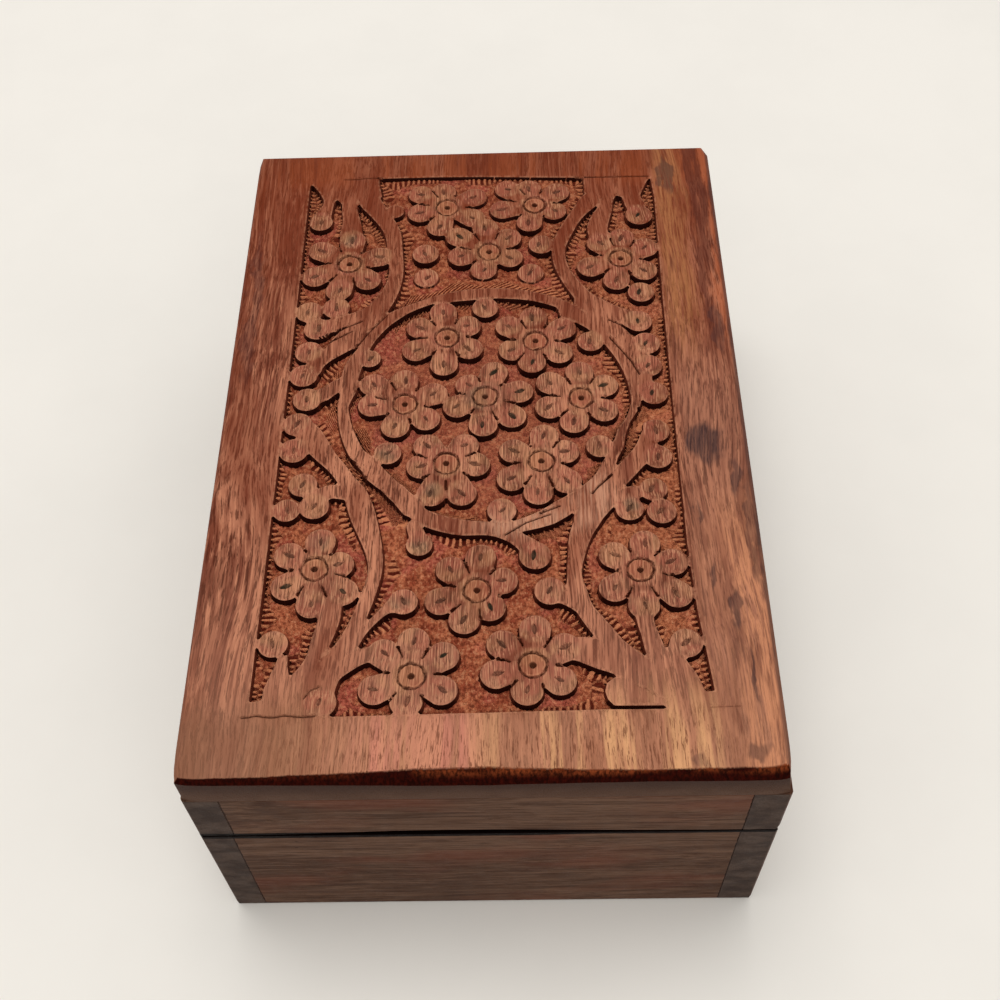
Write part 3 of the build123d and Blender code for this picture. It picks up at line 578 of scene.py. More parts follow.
def carved_lattice():
    """Places over the panel's top, drawn onto the carved outlines so that the walls run true, with the
    depth and marks at each, and which of them need small squares."""
    x_line = (np.arange(COLUMNS + 1) - COLUMNS / 2) * FINE
    y_line = (np.arange(ROWS + 1) - ROWS / 2) * FINE + MIDDLE_Y
    gx, gy = np.meshgrid(x_line, y_line, indexing="ij")
    ground, along, followed = carved_distance(gx, gy)
    open_ground = spread(spread(ground > 0.3)) | ((gx > 15) & (gy < -62))
    ground = np.where((ground > 0) & ~open_ground, -0.6 * FINE, ground)
    gi, gj = np.gradient(ground, FINE)
    length = np.maximum(np.hypot(gi, gj), 1e-6)
    snapped = np.abs(ground) < SNAP
    outer = (ground >= SNAP) & (ground < 1.5 * FINE)
    move = np.where(snapped, -ground, 0.0)
    move = np.where(outer, 0.7 * FINE - ground + 0.25 * (ground - SNAP), move)
    move = np.clip(move, -0.75 * FINE, SNAP)
    mx, my, in_cut = pull_to_cuts(gx, gy, SNAP)
    in_cut &= ground < -SNAP
    px = np.where(in_cut, gx + mx, gx + move * gi / length)
    py = np.where(in_cut, gy + my, gy + move * gj / length)
    depth, marks = carve(px, py, np.where(snapped, 0.0, ground + move), along, followed)
    cut = depth * (marks["ground"] == 0)
    work = (ground > -0.4) | (cut > PETAL_DISH + 0.12) | in_cut
    work |= (marks["gouge"] > -0.1) | (marks["hub"] < 0.8)
    return px, py, depth, marks, work


def square_faces(squares, index, depth):
    """Faces over the squares: the smallest become two triangles, split where their corners differ less
    in depth, and the others take in the corners of smaller neighbours."""
    loops, counts = [], []
    for i, j, size in squares:
        half = size // 2
        if size == 1:
            a, b, c, d = index[i, j], index[i + 1, j], index[i + 1, j + 1], index[i, j + 1]
            level_ac = np.abs(depth[i, j] - depth[i + 1, j + 1])
            level_bd = np.abs(depth[i + 1, j] - depth[i, j + 1])
            split_ac = (level_ac <= level_bd)[:, None]
            pairs = np.where(split_ac, np.stack([a, b, c, a, c, d], 1), np.stack([b, c, d, b, d, a], 1))
            loops.append(pairs.ravel())
            counts.append(np.full(2 * len(i), 3))
            continue
        places = [
            (i, j), (i + half, j), (i + size, j), (i + size, j + half),
            (i + size, j + size), (i + half, j + size), (i, j + size), (i, j + half),
        ]
        ring = np.stack([index[p, q] for p, q in places], 1)
        loops.append(ring[ring >= 0])
        counts.append((ring >= 0).sum(1))
    return loops, counts


def rim_ring(spots, arris_share, side_share):
    """One closed ring round the panel, at a share of the arris and of the side below it."""
    u, v = spots.T
    on_front, on_back, on_left, on_right = v == 0, v == 1, u == 0, u == 1
    between = ~on_front & ~on_back
    lean = RIGHT_LEAN * (1 - side_share)
    rise = 1 - arris_share
    low_inset = 0.02 if side_share == 1.0 else 0.0
    side = SIDE_ARRIS * rise + low_inset

    def waver(x, y):
        return 0.12 * value_noise(x, y, 4.1, 31) + 0.05 * value_noise(x, y, 1.7, 33)

    left_x = LEFT + side + CORNER_EASE
    back_x = RIGHT - max(BACK_CORNER_INSET, lean)
    right_x = np.where(on_back, back_x, RIGHT - lean) - side - CORNER_EASE
    x = left_x + (right_x - left_x) * u
    arris = np.interp(x, *np.array(FRONT_ARRIS, float).T) + waver(x, x * 0)
    edge = np.minimum(x - LEFT, RIGHT - lean - x)
    front_y = FRONT + arris * rise + low_inset + CORNER_EASE * np.exp(-(edge - side - CORNER_EASE) / 1.2)
    back_y = BACK_LEFT_Y + (BACK - BACK_LEFT_Y) * u - side
    y = front_y + (back_y - front_y) * v
    wobble = waver(y * 0, y) * rise
    front_ease = CORNER_EASE * np.exp(-(y - FRONT - 1.0) / 1.5)
    back_ease = CORNER_EASE * np.exp(-(BACK_LEFT_Y - y) / 1.5)
    x = np.where(on_left & between, LEFT + side + (front_ease + back_ease) + wobble, x)
    sweep = np.clip((y - BACK + BACK_CORNER_RUN) / (BACK_CORNER_RUN - side), 0, 1) ** 2
    swept = np.minimum(RIGHT - BACK_CORNER_INSET * sweep, RIGHT - lean) - side
    x = np.where(on_right & between, swept - front_ease - wobble, x)
    drop = np.where(on_front, arris * FRONT_ARRIS_SLOPE, SIDE_ARRIS * 0.9)
    near_front = np.exp(-(y - FRONT) / 2.0) * ~on_back
    drop = np.where(on_front, drop, drop + (arris * FRONT_ARRIS_SLOPE - drop) * near_front)
    z = PANEL_TOP - drop * arris_share**1.3
    z = z + (PANEL_BOTTOM + 0.03 - z) * side_share
    return np.stack([x, y, z], 1)


def rim_places(used):
    """The lattice's own rim, in order."""
    rim = [(i, 0) for i in range(COLUMNS)] + [(COLUMNS, j) for j in range(ROWS)]
    rim += [(i, ROWS) for i in range(COLUMNS, 0, -1)] + [(0, j) for j in range(ROWS, 0, -1)]
    return [place for place in rim if used[place]]


def panel_mesh():
    """The lid's top panel: carved field, border, rounded arrises, sides and underside, closed."""
    px, py, depth, marks, work = carved_lattice()
    squares = panel_squares(work)
    used = np.zeros(px.shape, bool)
    for i, j, size in squares:
        for p in (0, size):
            for q in (0, size):
                used[i + p, j + q] = True
    index = np.full(px.shape, -1)
    index[used] = np.arange(used.sum())
    loops, counts = square_faces(squares, index, depth)
    verts = np.stack([px[used], py[used], PANEL_TOP - depth[used]], 1)
    values = {name: mark[used] for name, mark in marks.items()}
    values |= {name: np.zeros(len(verts)) for name in ("arris", "side")}

    # rings out from the lattice's rim to the arris and down the sides, then the underside
    rim = rim_places(used)
    spots = np.array([(i / COLUMNS, j / ROWS) for i, j in rim])
    inner = index[tuple(np.array(rim).T)]
    for arris_share, side_share in RIM_RINGS:
        ring = rim_ring(spots, arris_share, side_share)
        outside = len(verts) + np.arange(len(ring))
        verts = np.vstack([verts, ring])
        quads = np.stack([inner, outside, np.roll(outside, -1), np.roll(inner, -1)], 1)
        loops.append(quads.ravel())
        counts.append(np.full(len(quads), 4))
        said = UNMARKED | {"arris": arris_share * (side_share == 0), "side": float(side_share > 0)}
        for name in values:
            values[name] = np.concatenate([values[name], np.full(len(ring), said.get(name, 0.0))])
        inner = outside
    loops.append(inner[::-1])
    counts.append(np.array([len(inner)]))
    return verts, np.concatenate(loops), np.concatenate(counts), values


def mesh_from(name, verts, loops, counts, values):
    """A mesh with smooth faces and sharp corners, its values kept as attributes of its points."""
    mesh = bpy.data.meshes.new(name)
    mesh.vertices.add(len(verts))
    mesh.vertices.foreach_set("co", (verts * MM).astype(np.float32).ravel())
    mesh.loops.add(len(loops))
    mesh.loops.foreach_set("vertex_index", loops.astype(np.int32))
    mesh.polygons.add(len(counts))
    starts = np.concatenate([[0], np.cumsum(counts)[:-1]])
    mesh.polygons.foreach_set("loop_start", starts.astype(np.int32))
    mesh.update(calc_edges=True)
    mesh.validate()
    for key, value in values.items():
        layer = mesh.attributes.new(key, "FLOAT", "POINT")
        layer.data.foreach_set("value", value.astype(np.float32))
    mesh.polygons.foreach_set("use_smooth", np.ones(len(mesh.polygons), bool))
    mesh.set_sharp_from_angle(angle=math.radians(42))
    return mesh


# ------------------------------------------------------------------ materials
HALF = (0.5,) * 3
WOOD_GLOSS = 0.02
PORE = (0.02, 0.006, 0.003, 1.0)
# near-black painted shade inside the narrow cuts: knife slits, eye rings and hub holes
CUT_SHADE = "3A1609"
# dark figure in the border: middle, reach, share
FIGURE_MARKS = [
    ((42.5, -8.0), (4.4, 6.0), 0.8), ((46.5, -17.0), (1.5, 6.0), 0.65), ((40.2, 67.0), (1.5, 8.0), 0.6),
    ((41.0, -37.5), (1.1, 4.0), 0.6), ((43.8, -45.0), (1.1, 5.0), 0.65), ((45.6, -58.0), (0.9, 6.5), 0.75),
    ((38.9, -24.0), (0.7, 4.0), 0.5), ((44.5, -72.0), (2.6, 2.0), 0.55), ((35.5, -74.0), (2.4, 1.4), 0.4),
    ((49.0, -30.0), (1.0, 16.0), 0.45), ((47.0, 22.0), (1.4, 9.0), 0.45), ((-48.3, 30.0), (1.6, 26.0), 0.35),
]
# petals and buds that the stain has turned grey-green: middle, reach
GREY_PATCHES = [
    ((-0.4, 4.2), (5.2, 4.6)), ((-18.7, -9.4), (2.6, 2.6)), ((-12.0, -30.8), (2.4, 2.6)),
    ((-15.0, -42.6), (2.6, 2.2)), ((-30.4, -29.6), (2.6, 2.4)), ((27.4, -22.2), (2.4, 2.0)),
    ((-9.8, -18.4), (2.2, 2.2)), ((-29.0, 48.0), (2.2, 2.6)),
]
# where the standing wood is paler: middle, reach
PALE_PATCHES = [((8.0, -26.0), (15.0, 5.0)), ((21.0, -21.0), (6.0, 9.0))]
ROSY_GROUND_REACH = (27.0, 27.0)
# how high each surface's relief stands
CHISEL_HEIGHT_M, SCRATCH_HEIGHT_M = 0.0008, 0.00004
CARVED_FIBRE_HEIGHT_M, BOARD_FIBRE_HEIGHT_M = 0.00012, 0.00008


def tint(code):
    """A colour written as six hex digits, in the shader's linear values."""
    parts = [int(code[k : k + 2], 16) / 255 for k in (0, 2, 4)]
    return tuple([c / 12.92 if c <= 0.04045 else ((c + 0.055) / 1.055) ** 2.4 for c in parts] + [1.0])


class Shader:
    """A material's nodes, joined up by short calls. Its colour is what has been painted so far."""

    def __init__(self, name):
        self.material = bpy.data.materials.new(name)
        self.material.use_nodes = True
        self.tree = self.material.node_tree
        self.colour = None
        self.place = self.vector("MULTIPLY", self.node("TexCoord").outputs["Object"], (1 / MM,) * 3)
        self.x, self.y, self.z = self.parts(self.place)

    def node(self, kind):
        return self.tree.nodes.new("ShaderNode" + kind)

    def put(self, socket, value):
        if isinstance(value, bpy.types.NodeSocket):
            self.tree.links.new(value, socket)
        else:
            socket.default_value = value

    def vector(self, operation, a, b):
        node = self.node("VectorMath")
        node.operation = operation
        self.put(node.inputs[0], a)
        self.put(node.inputs[1], b)
        return node.outputs[1 if operation == "LENGTH" else 0]

    def math(self, operation, a, b=0.0):
        node = self.node("Math")
        node.operation = operation
        self.put(node.inputs[0], a)
        self.put(node.inputs[1], b)
        return node.outputs[0]

    def times(self, first, *others):
        """The product of values."""
        for other in others:
            first = self.math("MULTIPLY", first, other)
        return first

    def absolute(self, value):
        return self.math("ABSOLUTE", value)

    def apart(self, a, b):
        return self.absolute(self.math("SUBTRACT", a, b))

    def step(self, value, low, high, to_high=1.0, to_low=0.0):
        """Eases from to_low, where the value is low, to to_high, where it is high."""
        node = self.node("MapRange")
        node.interpolation_type = "SMOOTHSTEP"
        self.put(node.inputs["Value"], value)
        for key, number in (("From Min", low), ("From Max", high), ("To Min", to_low), ("To Max", to_high)):
            self.put(node.inputs[key], number)
        return node.outputs[0]

    def noise(self, place, scale, detail, rough, shift=0.0, output="Fac"):
        """Noise in repeats per millimetre, with one scale for all axes or one for each."""
        scale = scale if isinstance(scale, tuple) else (scale,) * 3
        moved = self.vector("ADD", self.vector("MULTIPLY", place, scale), (shift, shift * 1.7, shift * 0.6))
        node = self.node("TexNoise")
        self.put(node.inputs["Vector"], moved)
        for key, number in (("Scale", 1.0), ("Detail", detail), ("Roughness", rough)):
            self.put(node.inputs[key], number)
        return node.outputs[output]

    def swayed(self, scale, detail, shift, reach):
        """Places pushed about by up to half the reach."""
        push = self.noise(self.place, scale, detail, 0.5, shift, "Color")
        off = self.vector("MULTIPLY", self.vector("SUBTRACT", push, HALF), (reach,) * 3)
        return self.vector("ADD", self.place, off)

    def mix(self, share, a, b):
        node = self.node("Mix")
        node.data_type = "RGBA"
        self.put(node.inputs[0], share)
        self.put(node.inputs[6], a)
        self.put(node.inputs[7], b)
        return node.outputs[2]

    def paint(self, layer, *shares):
        """Lays a colour, or six hex digits, over what is painted, by the product of the shares."""
        layer = tint(layer) if isinstance(layer, str) else layer
        self.colour = self.mix(self.times(*shares), self.colour, layer)

    def mark(self, name):
        """What one of the mesh's marks says."""
        node = self.node("Attribute")
        node.attribute_name = name
        return node.outputs["Fac"]

    def parts(self, place):
        node = self.node("SeparateXYZ")
        self.put(node.inputs[0], place)
        return node.outputs

    def facing(self, axis):
        """How squarely the surface looks along an axis, from -1 to 1."""
        return self.parts(self.node("NewGeometry").outputs["True Normal"])[axis]

    def blob(self, place, centre, reach, soft):
        """1 inside an ellipse in the plan, fading out at its edge."""
        off = self.vector("SUBTRACT", place, (*centre, 0.0))
        off = self.vector("MULTIPLY", off, (1 / reach[0], 1 / reach[1], 0.0))
        return self.step(self.vector("LENGTH", off, (0.0,) * 3), 1.0, 1.0 - soft)

    def bump(self, height, distance, strength, normal=None):
        node = self.node("Bump")
        self.put(node.inputs["Strength"], strength)
        self.put(node.inputs["Distance"], distance)
        self.put(node.inputs["Height"], height)
        if normal is not None:
            self.put(node.inputs["Normal"], normal)
        return node.outputs[0]

    def finish(self, rough, normal=None, metallic=0.0, gloss=0.5):
        sockets = self.tree.nodes["Principled BSDF"].inputs
        self.put(sockets["Base Color"], self.colour)
        self.put(sockets["Roughness"], rough)
        self.put(sockets["Metallic"], metallic)
        self.put(sockets["Specular IOR Level"], gloss)
        if normal is not None:
            self.put(sockets["Normal"], normal)
        return self.material


def grain_scale(axis, across, lengthwise):
    """A noise scale drawn out along the grain's axis."""
    scale = [across, across, across]
    scale[axis] = lengthwise
    return tuple(scale)


def wood_layers(s, axis, tones, hair_share, shift=0.0):
    """Paints a board's bands, fibres and pores in three tones; gives their height and swayed places."""
    dark, middle, light = [tint(code) for code in tones]
    place = s.swayed(grain_scale(axis, 0.03, 0.017), 2.0, shift + 3.0, 8.0)
    bands = s.noise(place, grain_scale(axis, 0.17, 0.011), 3.0, 0.5, shift)
    fibres = s.noise(place, grain_scale(axis, 1.7, 0.06), 4.0, 0.7, shift + 7.0)
    streaks = s.noise(place, grain_scale(axis, 0.55, 0.02), 3.0, 0.6, shift + 9.0)
    hairs = s.noise(place, grain_scale(axis, 3.1, 0.2), 3.0, 0.6, shift + 12.0)
    pores = s.step(hairs, 0.53, 0.62)
    s.colour = s.mix(s.step(bands, 0.36, 0.64), dark, light)
    s.paint(middle, 0.45)
    s.paint(dark, s.step(streaks, 0.5, 0.34, 0.4))
    s.paint(light, s.step(streaks, 0.52, 0.66, 0.45))
    s.paint(dark, s.step(fibres, 0.52, 0.36, 0.75))
    s.paint(light, s.step(fibres, 0.52, 0.66, 0.75))
    s.paint(s.mix(0.5, dark, PORE), pores, hair_share)
    return s.math("SUBTRACT", s.times(fibres, 0.6), pores), place


def end_grain(s, shift):
    """Polished end grain: cool, dark, faintly speckled."""
    dots = s.noise(s.place, 2.4, 4.0, 0.65, shift + 91.0)
    cloud = s.noise(s.place, (0.16, 0.16, 0.3), 3.0, 0.6, shift + 95.0)
    wood = s.mix(s.step(cloud, 0.38, 0.64), tint("3A2E29"), tint("51423A"))
    return s.mix(s.step(dots, 0.6, 0.4, 0.35), wood, tint("332824"))


def board_tones(s, place):
    """The top board: redder and darker to the back, golden and rosy along the front, shaded at its left."""
    s.paint("B07A62", s.step(s.y, -30.0, -66.0, 0.3))
    s.paint("742F16", s.step(s.y, -10.0, 74.0, 0.62))
    blotch = s.noise(place, (0.09, 0.03, 0.09), 3.0, 0.6, 31.0)
    s.paint("6E301D", s.step(blotch, 0.44, 0.68, 0.6))
    front = s.times(s.step(s.y, -55.0, -70.0), s.step(s.x, -48.0, -18.0, 1.0, 0.3))
    s.paint("C48A68", front, 0.35)
    pink = s.step(s.noise(place, (0.25, 0.02, 0.1), 3.0, 0.6, 33.0), 0.42, 0.6)
    rose = s.times(s.step(s.x, -30.0, -22.0), s.step(s.x, 3.0, -4.0), pink)
    s.paint("CC7F6C", front, rose, 0.6)
    amber = s.step(s.noise(place, (0.2, 0.012, 0.1), 4.0, 0.65, 35.0), 0.46, 0.58)
    s.paint("DCA474", front, s.step(s.x, -6.0, 14.0, 1.0, 0.25), amber, 0.75)
    s.paint("9A4C2A", s.step(s.y, 62.0, 69.0), amber, 0.4)
    s.paint("7A5541", s.step(s.y, -58.0, -68.0), s.step(s.x, -16.0, -46.0), 0.5)
    s.paint("5A2A18", s.step(s.y, 65.0, 70.0, 0.14))
    tufts = s.noise(place, (3.6, 0.3, 3.0), 3.0, 0.65, 38.0)
    s.paint("6A3D2A", front, s.step(tufts, 0.53, 0.62), 0.75)


def right_border(s, place, grainy):
    """The figured right-hand border: golden within, a dark streak, bright orange towards the edge, and
    painted shade along the brim where the rounded side turns away.
    """
    right = s.step(s.x, 36.5, 39.0)
    rear = s.times(right, s.step(s.y, 6.0, 30.0))
    near_end = s.times(right, s.step(s.y, -12.0, -34.0))
    wild = s.noise(place, (0.26, 0.04, 0.2), 4.0, 0.62, 44.0)
    sway = s.math("ADD", s.x, s.step(wild, 0.3, 0.7, 1.8, -1.8))
    s.paint("7C5546", right, s.step(s.y, 30.0, -4.0, 0.35))
    s.paint("B0744A", rear, grainy, s.step(sway, 45.0, 41.5, 0.6))
    s.paint("54281F", rear, s.step(s.apart(sway, 46.3), 2.0, 0.8, 0.65))
    s.paint("A85A3A", rear, s.step(sway, 47.8, 49.0, 0.6))
    s.paint("D08C66", near_end, grainy, s.step(sway, 42.0, 46.0, 0.7, 0.2))
    s.paint("5F3226", right, s.step(wild, 0.44, 0.34, 0.5))
    # painted shade along the brim, where the rounded, leaning side turns from the light
    brim = RIGHT - RIGHT_LEAN
    s.paint("4E3530", s.step(s.x, brim - 1.1, brim - 0.5, 0.7))


def board_patches(s, fibres, grainy):
    """Dark figure, and places where the wood has turned grey or stayed pale."""
    ragged = s.swayed((0.3, 0.14, 0.3), 3.0, 51.0, 7.0)
    combed = s.step(fibres, 0.3, 0.6, 1.0, 0.55)
    for centre, reach, share in FIGURE_MARKS:
        s.paint("30262A", s.blob(ragged, centre, reach, 0.45), combed, share)
    for centre, reach in GREY_PATCHES:
        s.paint("55503F", s.blob(s.place, centre, reach, 0.6), 0.6)
    for centre, reach in PALE_PATCHES:
        s.paint("D09A7C", s.blob(ragged, centre, reach, 0.7), grainy, 0.55)


def petal_tones(s, place, hub, chips):
    """Petals, handled and finely lined, with a painted highlight along their rounded rims."""
    petal = s.mark("petal")
    s.paint("A06C54", petal, 0.2)
    tone = s.noise(s.place, 0.17, 2.0, 0.5, 96.0)
    s.paint("A85A48", petal, s.step(tone, 0.52, 0.4, 0.38))
    s.paint("C08A60", petal, s.step(tone, 0.5, 0.62, 0.22))
    lines = s.noise(place, (4.4, 0.14, 4.4), 2.0, 0.6, 93.0)
    s.paint("46261A", petal, s.step(lines, 0.54, 0.64, 0.55))
    s.paint("CE9672", petal, s.step(lines, 0.47, 0.37, 0.5))
    s.paint("A8603F", s.step(hub, 2.3, 2.1, 0.22))
    # painted highlight along the rims of raised forms, where a rounded edge would catch the light
    s.paint("CB8F6E", s.mark("rim"), chips, 0.4)


def bare_ground(s, ground, mottle):
    """The cut ground: red, painted darker as shade in its pits, with dark rungs painted as shade in its
    ladders' troughs and pale rungs painted as highlight on their crests.
    """
    standing = s.colour
    s.colour = s.mix(s.step(mottle, 0.36, 0.66), tint("9A4A32"), tint("C67450"))
    s.paint("C05E52", s.step(s.noise(s.place, 0.16, 2.0, 0.5, 65.0), 0.5, 0.64, 0.5))
    s.paint("CE8058", s.step(s.x, 8.0, 37.0, 0.5))
    # painted shade: darker in the pits of the punched ground
    s.paint("662818", s.step(s.mark("pit"), 0.35, 1.0, 0.35))
    crust = s.noise(s.place, (1.5, 1.2, 1.5), 3.0, 0.6, 63.0)
    s.paint("5A2114", s.step(crust, 0.49, 0.37, 0.6))
    s.paint("DC9870", s.step(crust, 0.53, 0.64, 0.5))
    rung = s.math("COSINE", s.times(s.mark("run"), 2 * math.pi))
    ladder = s.step(s.mark("ladder"), 0.35, 0.65)
    # painted shade in the ladder's troughs and painted highlight on its crests, following the rung relief
    s.paint("561A10", ladder, s.step(rung, 0.1, -0.5, 0.9))
    s.paint("D88A60", ladder, s.step(rung, 0.0, 0.6, 0.7))
    s.paint("6A2E1C", s.step(s.y, -20.0, 80.0, 0.25))
    s.paint("AE6450", s.step(s.blob(s.place, RING_CENTRE, ROSY_GROUND_REACH, 0.2), 0.0, 1.0, 0.25))
    s.colour = s.mix(ground, standing, s.colour)


def cuts_and_painted_shade(s, hub, chips, mottle):
    """Cut walls, slits, hub rings and gouges, with painted shade on the walls and in the narrow cuts. The
    walls are nearly black where they look along Y: partly the end grain's own darker colour, partly painted
    shade.
    """
    # painted shade, partly the end grain's own colour: steep cut walls darkened, nearly black where they face
    # along Y
    wall = s.times(s.step(s.facing(2), 0.72, 0.5), s.step(s.mark("wall"), 0.1, 0.4))
    end_on = s.step(s.absolute(s.facing(1)), 0.2, 0.75)
    s.paint(s.mix(end_on, tint("5E2A1C"), tint("260A05")), wall)
    # painted shade in the knife slits, the eye-ring grooves and the hub holes
    s.paint(CUT_SHADE, s.step(s.mark("slit"), 0.15, 0.75, 0.8))
    rough_hub = s.math("ADD", hub, s.times(s.math("SUBTRACT", mottle, 0.5), 1.6))
    eye_ring = s.step(s.apart(rough_hub, EYE_RADIUS), 0.42, 0.12, 0.85)
    s.paint(CUT_SHADE, eye_ring, s.step(chips, 0.0, 1.0, 1.0, 0.45))
    s.paint("C98A66", s.step(s.apart(rough_hub, 2.0), 0.25, 0.05, 0.4), chips)
    s.paint(CUT_SHADE, s.step(hub, 0.75, 0.5, 0.85))
    gouge = s.times(s.step(s.mark("gouge"), -0.05, 0.3), s.step(mottle, 0.3, 0.6, 1.0, 0.5))
    s.paint("4A3228", gouge, 0.65)
    s.paint("20291F", gouge, s.times(s.mark("stain"), 0.8))
    return gouge


def panel_edges(s):
    """The planed front arris, polished dark with glowing end grain to the right, and the plain sides."""
    arris = s.times(s.mark("arris"), s.step(s.facing(1), -0.2, -0.45))
    speckle = s.noise(s.place, (1.9, 1.2, 1.2), 4.0, 0.6, 71.0)
    ember = s.noise(s.place, (0.07, 0.2, 0.3), 2.0, 0.5, 77.0)
    glow = s.times(s.step(ember, 0.42, 0.6), s.step(s.x, -30.0, 0.0, 1.0, 0.1), s.step(arris, 0.75, 0.25))
    planed = s.mix(s.step(speckle, 0.32, 0.74), tint("170200"), tint("340802"))
    planed = s.mix(s.times(glow, s.step(speckle, 0.36, 0.66, 0.6, 0.1)), planed, tint("9A4A25"))
    edge = s.math("ADD", arris, s.times(s.math("SUBTRACT", speckle, 0.5), 0.22))
    s.paint(planed, s.step(edge, 0.04, 0.24), s.step(arris, 0.0, 0.02))
    side = s.mark("side")
    s.paint("644334", side, 0.55)
    butt = s.mix(0.65, end_grain(s, 88.0), tint("5C4031"))
    butt = s.mix(s.step(s.z, 54.0, 59.5, 0.7), butt, tint("33221E"))
    s.paint(butt, side, s.step(s.absolute(s.facing(1)), 0.3, 0.5))


def carved_wood():
    """The lid's carved top: worn smooth above, raw and red in the ground, dark on its cut walls, partly as
    painted shade.
    """
    s = Shader("carved_rosewood_top")
    height, place = wood_layers(s, 1, ("5A281A", "975A45", "C88666"), 0.75)
    fibres = s.noise(place, (2.2, 0.1, 2.0), 3.0, 0.6, 54.0)
    grainy = s.step(fibres, 0.36, 0.58, 1.0, 0.15)
    mottle = s.noise(s.place, (0.45, 0.35, 0.45), 4.0, 0.65, 61.0)
    chips = s.step(s.noise(s.place, 0.9, 2.0, 0.6, 57.0), 0.4, 0.6)
    hub, ground = s.mark("hub"), s.mark("ground")
    board_tones(s, place)
    right_border(s, place, grainy)
    board_patches(s, fibres, grainy)
    petal_tones(s, place, hub, chips)
    bare_ground(s, ground, mottle)
    gouge = cuts_and_painted_shade(s, hub, chips, mottle)
    panel_edges(s)
    rough = s.step(s.math("MAXIMUM", ground, gouge), 0.0, 1.0, 0.8, 0.45)
    chisel = s.times(s.noise(s.place, 1.7, 4.0, 0.65, 81.0), ground)
    normal = s.bump(chisel, CHISEL_HEIGHT_M, 0.9, s.bump(height, CARVED_FIBRE_HEIGHT_M, 0.6))
    return s.finish(rough, normal, gloss=WOOD_GLOSS)


def seam_shadow_line(s, crumbs):
    """The painted shadow of the gap where lid and base meet: a near-black line on the box's outside and the
    brink of its level faces.
    """
    lower = s.step(s.x, -10.0, 40.0, SEAM_Z - 0.45, SEAM_Z)
    wide = s.math("ADD", s.times(crumbs, 0.3), s.step(s.x, 22.0, 4.0, 0.95, 0.35))
    wide = s.times(wide, s.step(s.x, LEFT, -46.0, 1.0, 0.9))
    line = s.step(s.math("SUBTRACT", s.apart(s.z, lower), wide), 0.25, 0.0)
    far_x, far_y = s.absolute(s.x), s.absolute(s.y)
    off_sides, off_ends = s.step(far_x, RIGHT - 0.8, RIGHT - 0.5), s.step(far_y, BACK - 1.8, BACK - 1.5)
    outside = s.math("MAXIMUM", off_sides, off_ends)
    upright = s.step(s.absolute(s.facing(2)), 0.9, 0.6)
    brink = s.math("MAXIMUM", s.step(far_x, RIGHT - 0.8, RIGHT - 0.7), s.step(far_y, BACK - 0.8, BACK - 0.7))
    return s.times(line, s.math("MAXIMUM", brink, s.times(outside, upright)))


def board_wood(name, axis, shift, joints, has_seam):
    """A plain board: smooth brown long grain, cooler and darker on its ends."""
    s = Shader(name)
    height, place = wood_layers(s, axis, ("3E291F", "573F32", "6A4F3F"), 0.3, shift)
    ruddy = s.noise(place, grain_scale(axis, 0.07, 0.02), 3.0, 0.55, shift + 41.0)
    s.paint("683527", s.step(ruddy, 0.5, 0.68, 0.4))
    specks = s.noise(s.place, grain_scale(axis, 1.1, 0.5), 1.0, 0.5, shift + 61.0)
    s.paint("1C0F0B", s.step(specks, 0.76, 0.8, 0.8))
    s.paint(end_grain(s, shift), s.step(s.absolute(s.facing(axis)), 0.6, 0.85))
    crumbs = s.noise(s.place, (1.3, 1.3, 0.6), 3.0, 0.7, shift + 71.0)
    # painted shade in the gaps of the butt joints, a dark ragged line
    for joint_x in joints:
        gap = s.math("SUBTRACT", s.apart(s.x, joint_x), s.times(crumbs, 0.5))
        s.paint("1A0D09", s.step(gap, 0.02, -0.12))
    if has_seam:
        # painted shadow of the gap between lid and base
        s.paint("0A0302", seam_shadow_line(s, crumbs))
    rough = s.step(s.noise(s.place, 0.3, 2.0, 0.5, shift + 5.0), 0.3, 0.7, 0.56, 0.42)
    return s.finish(rough, s.bump(height, BOARD_FIBRE_HEIGHT_M, 0.4), gloss=WOOD_GLOSS)


def brass():
    """Worn brass, clouded and finely scratched."""
    s = Shader("hinge_brass_worn")
    cloud = s.noise(s.place, (0.5, 0.3, 0.5), 4.0, 0.6)
    scratch = s.noise(s.place, (9.0, 0.8, 9.0), 3.0, 0.6, 9.0)
    s.colour = s.mix(s.step(cloud, 0.38, 0.68), tint("8C6A34"), tint("C29A52"))
    s.paint("4A3620", s.step(s.noise(s.place, 1.1, 5.0, 0.7, 17.0), 0.58, 0.75, 0.7))
    rough = s.step(cloud, 0.3, 0.7, 0.28, 0.46)
    return s.finish(rough, s.bump(scratch, SCRATCH_HEIGHT_M, 0.6), 0.95)


def table_paper():
    """The floor's pale, very faintly clouded paper."""
    s = Shader("table_paper")
    base = tint("EDE9E2")
    shade = tuple([c * 0.975 for c in base[:3]] + [1.0])
    s.colour = s.mix(s.step(s.noise(s.place, 0.02, 4.0, 0.6), 0.35, 0.7), base, shade)
    return s.finish(0.9)


# ------------------------------------------------------------------ the pieces
# the boards whose grain runs across the box, and where the butt joints show on the near end
GRAIN_X = ("base_front_board", "base_back_board", "lid_front_rail", "lid_back_rail")
JOINTS = {"base_front_board": (-45.5, 44.7), "lid_front_rail": (-45.0, 44.9)}
EASED = 0.18
WELD_REACH_M = 1e-6
# how far apart in the noise two boards' wood is taken from
WOOD_SHIFT = 13.0


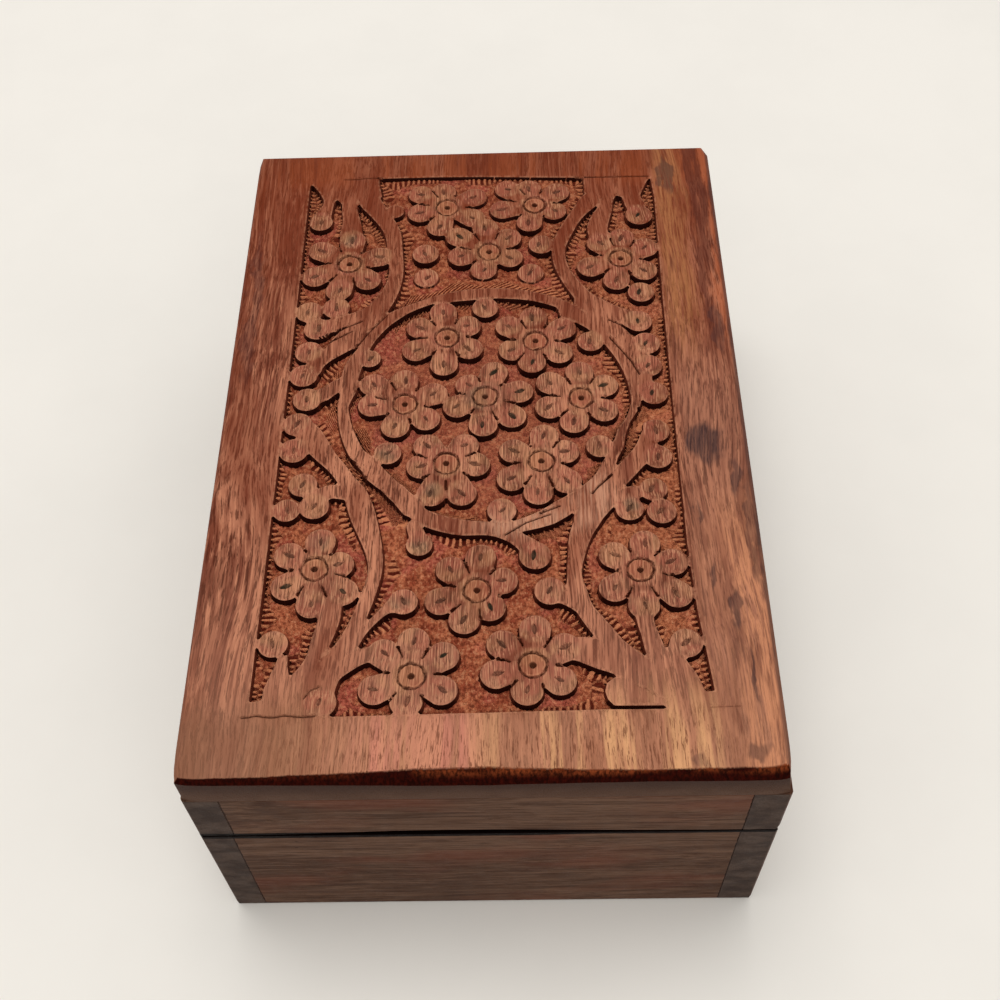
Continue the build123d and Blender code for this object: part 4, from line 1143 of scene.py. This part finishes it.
def ease(piece):
    """Lightly rounded edges on one of the CAD model's own shapes."""
    weld = piece.modifiers.new("weld", "WELD")
    weld.merge_threshold = WELD_REACH_M
    bevel = piece.modifiers.new("ease", "BEVEL")
    bevel.width = EASED * MM
    bevel.segments = 3
    bevel.limit_method = "ANGLE"
    bevel.angle_limit = math.radians(30)


def link(name, data):
    """A new object in the scene."""
    made = bpy.data.objects.new(name, data)
    bpy.context.scene.collection.objects.link(made)
    return made


carved_top = link("lid_carved_top", mesh_from("lid_carved_top", *panel_mesh()))
carved_top.data.materials.append(carved_wood())
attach(carved_top, "lid")
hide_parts("lid_top_panel")

brass_material = brass()
for number, (node, piece) in enumerate(sorted(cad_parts.items())):
    if node == "lid_top_panel":
        continue
    piece.data.materials.clear()
    if "hinge" in node:
        piece.data.materials.append(brass_material)
        continue
    axis = 0 if node in GRAIN_X else 1
    has_seam = node != "base_bottom_panel"
    wood = board_wood(node + "_wood", axis, WOOD_SHIFT * number, JOINTS.get(node, ()), has_seam)
    piece.data.materials.append(wood)
    ease(piece)

# ------------------------------------------------------------------ floor, light and camera
FLOOR_REACH_M = 3.0
LIGHTS_AIM_M = (0.0, -0.02, 0.05)

corners = [(-1, -1), (1, -1), (1, 1), (-1, 1)]
floor_mesh = bpy.data.meshes.new("table")
floor_mesh.from_pydata([(x * FLOOR_REACH_M, y * FLOOR_REACH_M, 0) for x, y in corners], [], [(0, 1, 2, 3)])
floor_mesh.materials.append(table_paper())
floor = link("table", floor_mesh)


def area_light(name, place, size, power, colour):
    """A rectangular lamp, aimed at the box."""
    data = bpy.data.lights.new(name, "AREA")
    data.shape = "RECTANGLE"
    data.size, data.size_y = size
    data.energy = power
    data.color = colour
    lamp = link(name, data)
    lamp.location = place
    lamp.rotation_euler = (Vector(LIGHTS_AIM_M) - Vector(place)).to_track_quat("-Z", "Y").to_euler()


area_light("room", (0.25, -1.15, 1.25), (1.5, 1.0), 6.3, (1.0, 0.99, 0.97))
area_light("window", (-0.12, 0.25, 1.6), (0.9, 0.8), 10.0, (1.0, 0.985, 0.96))

world = bpy.data.worlds.new("studio")
bpy.context.scene.world = world
world.use_nodes = True
nodes, links = world.node_tree.nodes, world.node_tree.links
lit = nodes["Background"]
lit.inputs["Color"].default_value = (1.0, 0.99, 0.975, 1.0)
lit.inputs["Strength"].default_value = 0.6
# the backdrop that the camera and the brass see is as pale as the table
seen = nodes.new("ShaderNodeBackground")
seen.inputs["Color"].default_value = (1.0, 0.985, 0.955, 1.0)
seen.inputs["Strength"].default_value = 0.84
path = nodes.new("ShaderNodeLightPath")
share = path.outputs["Is Camera Ray"]
for ray in ("Is Glossy Ray", "Is Transmission Ray"):
    either = nodes.new("ShaderNodeMath")
    either.operation = "MAXIMUM"
    links.new(share, either.inputs[0])
    links.new(path.outputs[ray], either.inputs[1])
    share = either.outputs[0]
chosen = nodes.new("ShaderNodeMixShader")
for socket, source in enumerate((share, lit.outputs[0], seen.outputs[0])):
    links.new(source, chosen.inputs[socket])
links.new(chosen.outputs[0], nodes["World Output"].inputs[0])

camera_data = bpy.data.cameras.new("camera")
camera = link("camera", camera_data)
bpy.context.scene.camera = camera
camera_data.lens, camera_data.sensor_width = 47.84, 36.0
camera.location = (0.00609, -0.16238, 0.26397)
camera.rotation_euler = tuple(math.radians(a) for a in (34.851, 1.134, -0.295))
camera_data.clip_start = 0.01

bpy.context.scene.view_settings.view_transform = "Standard"
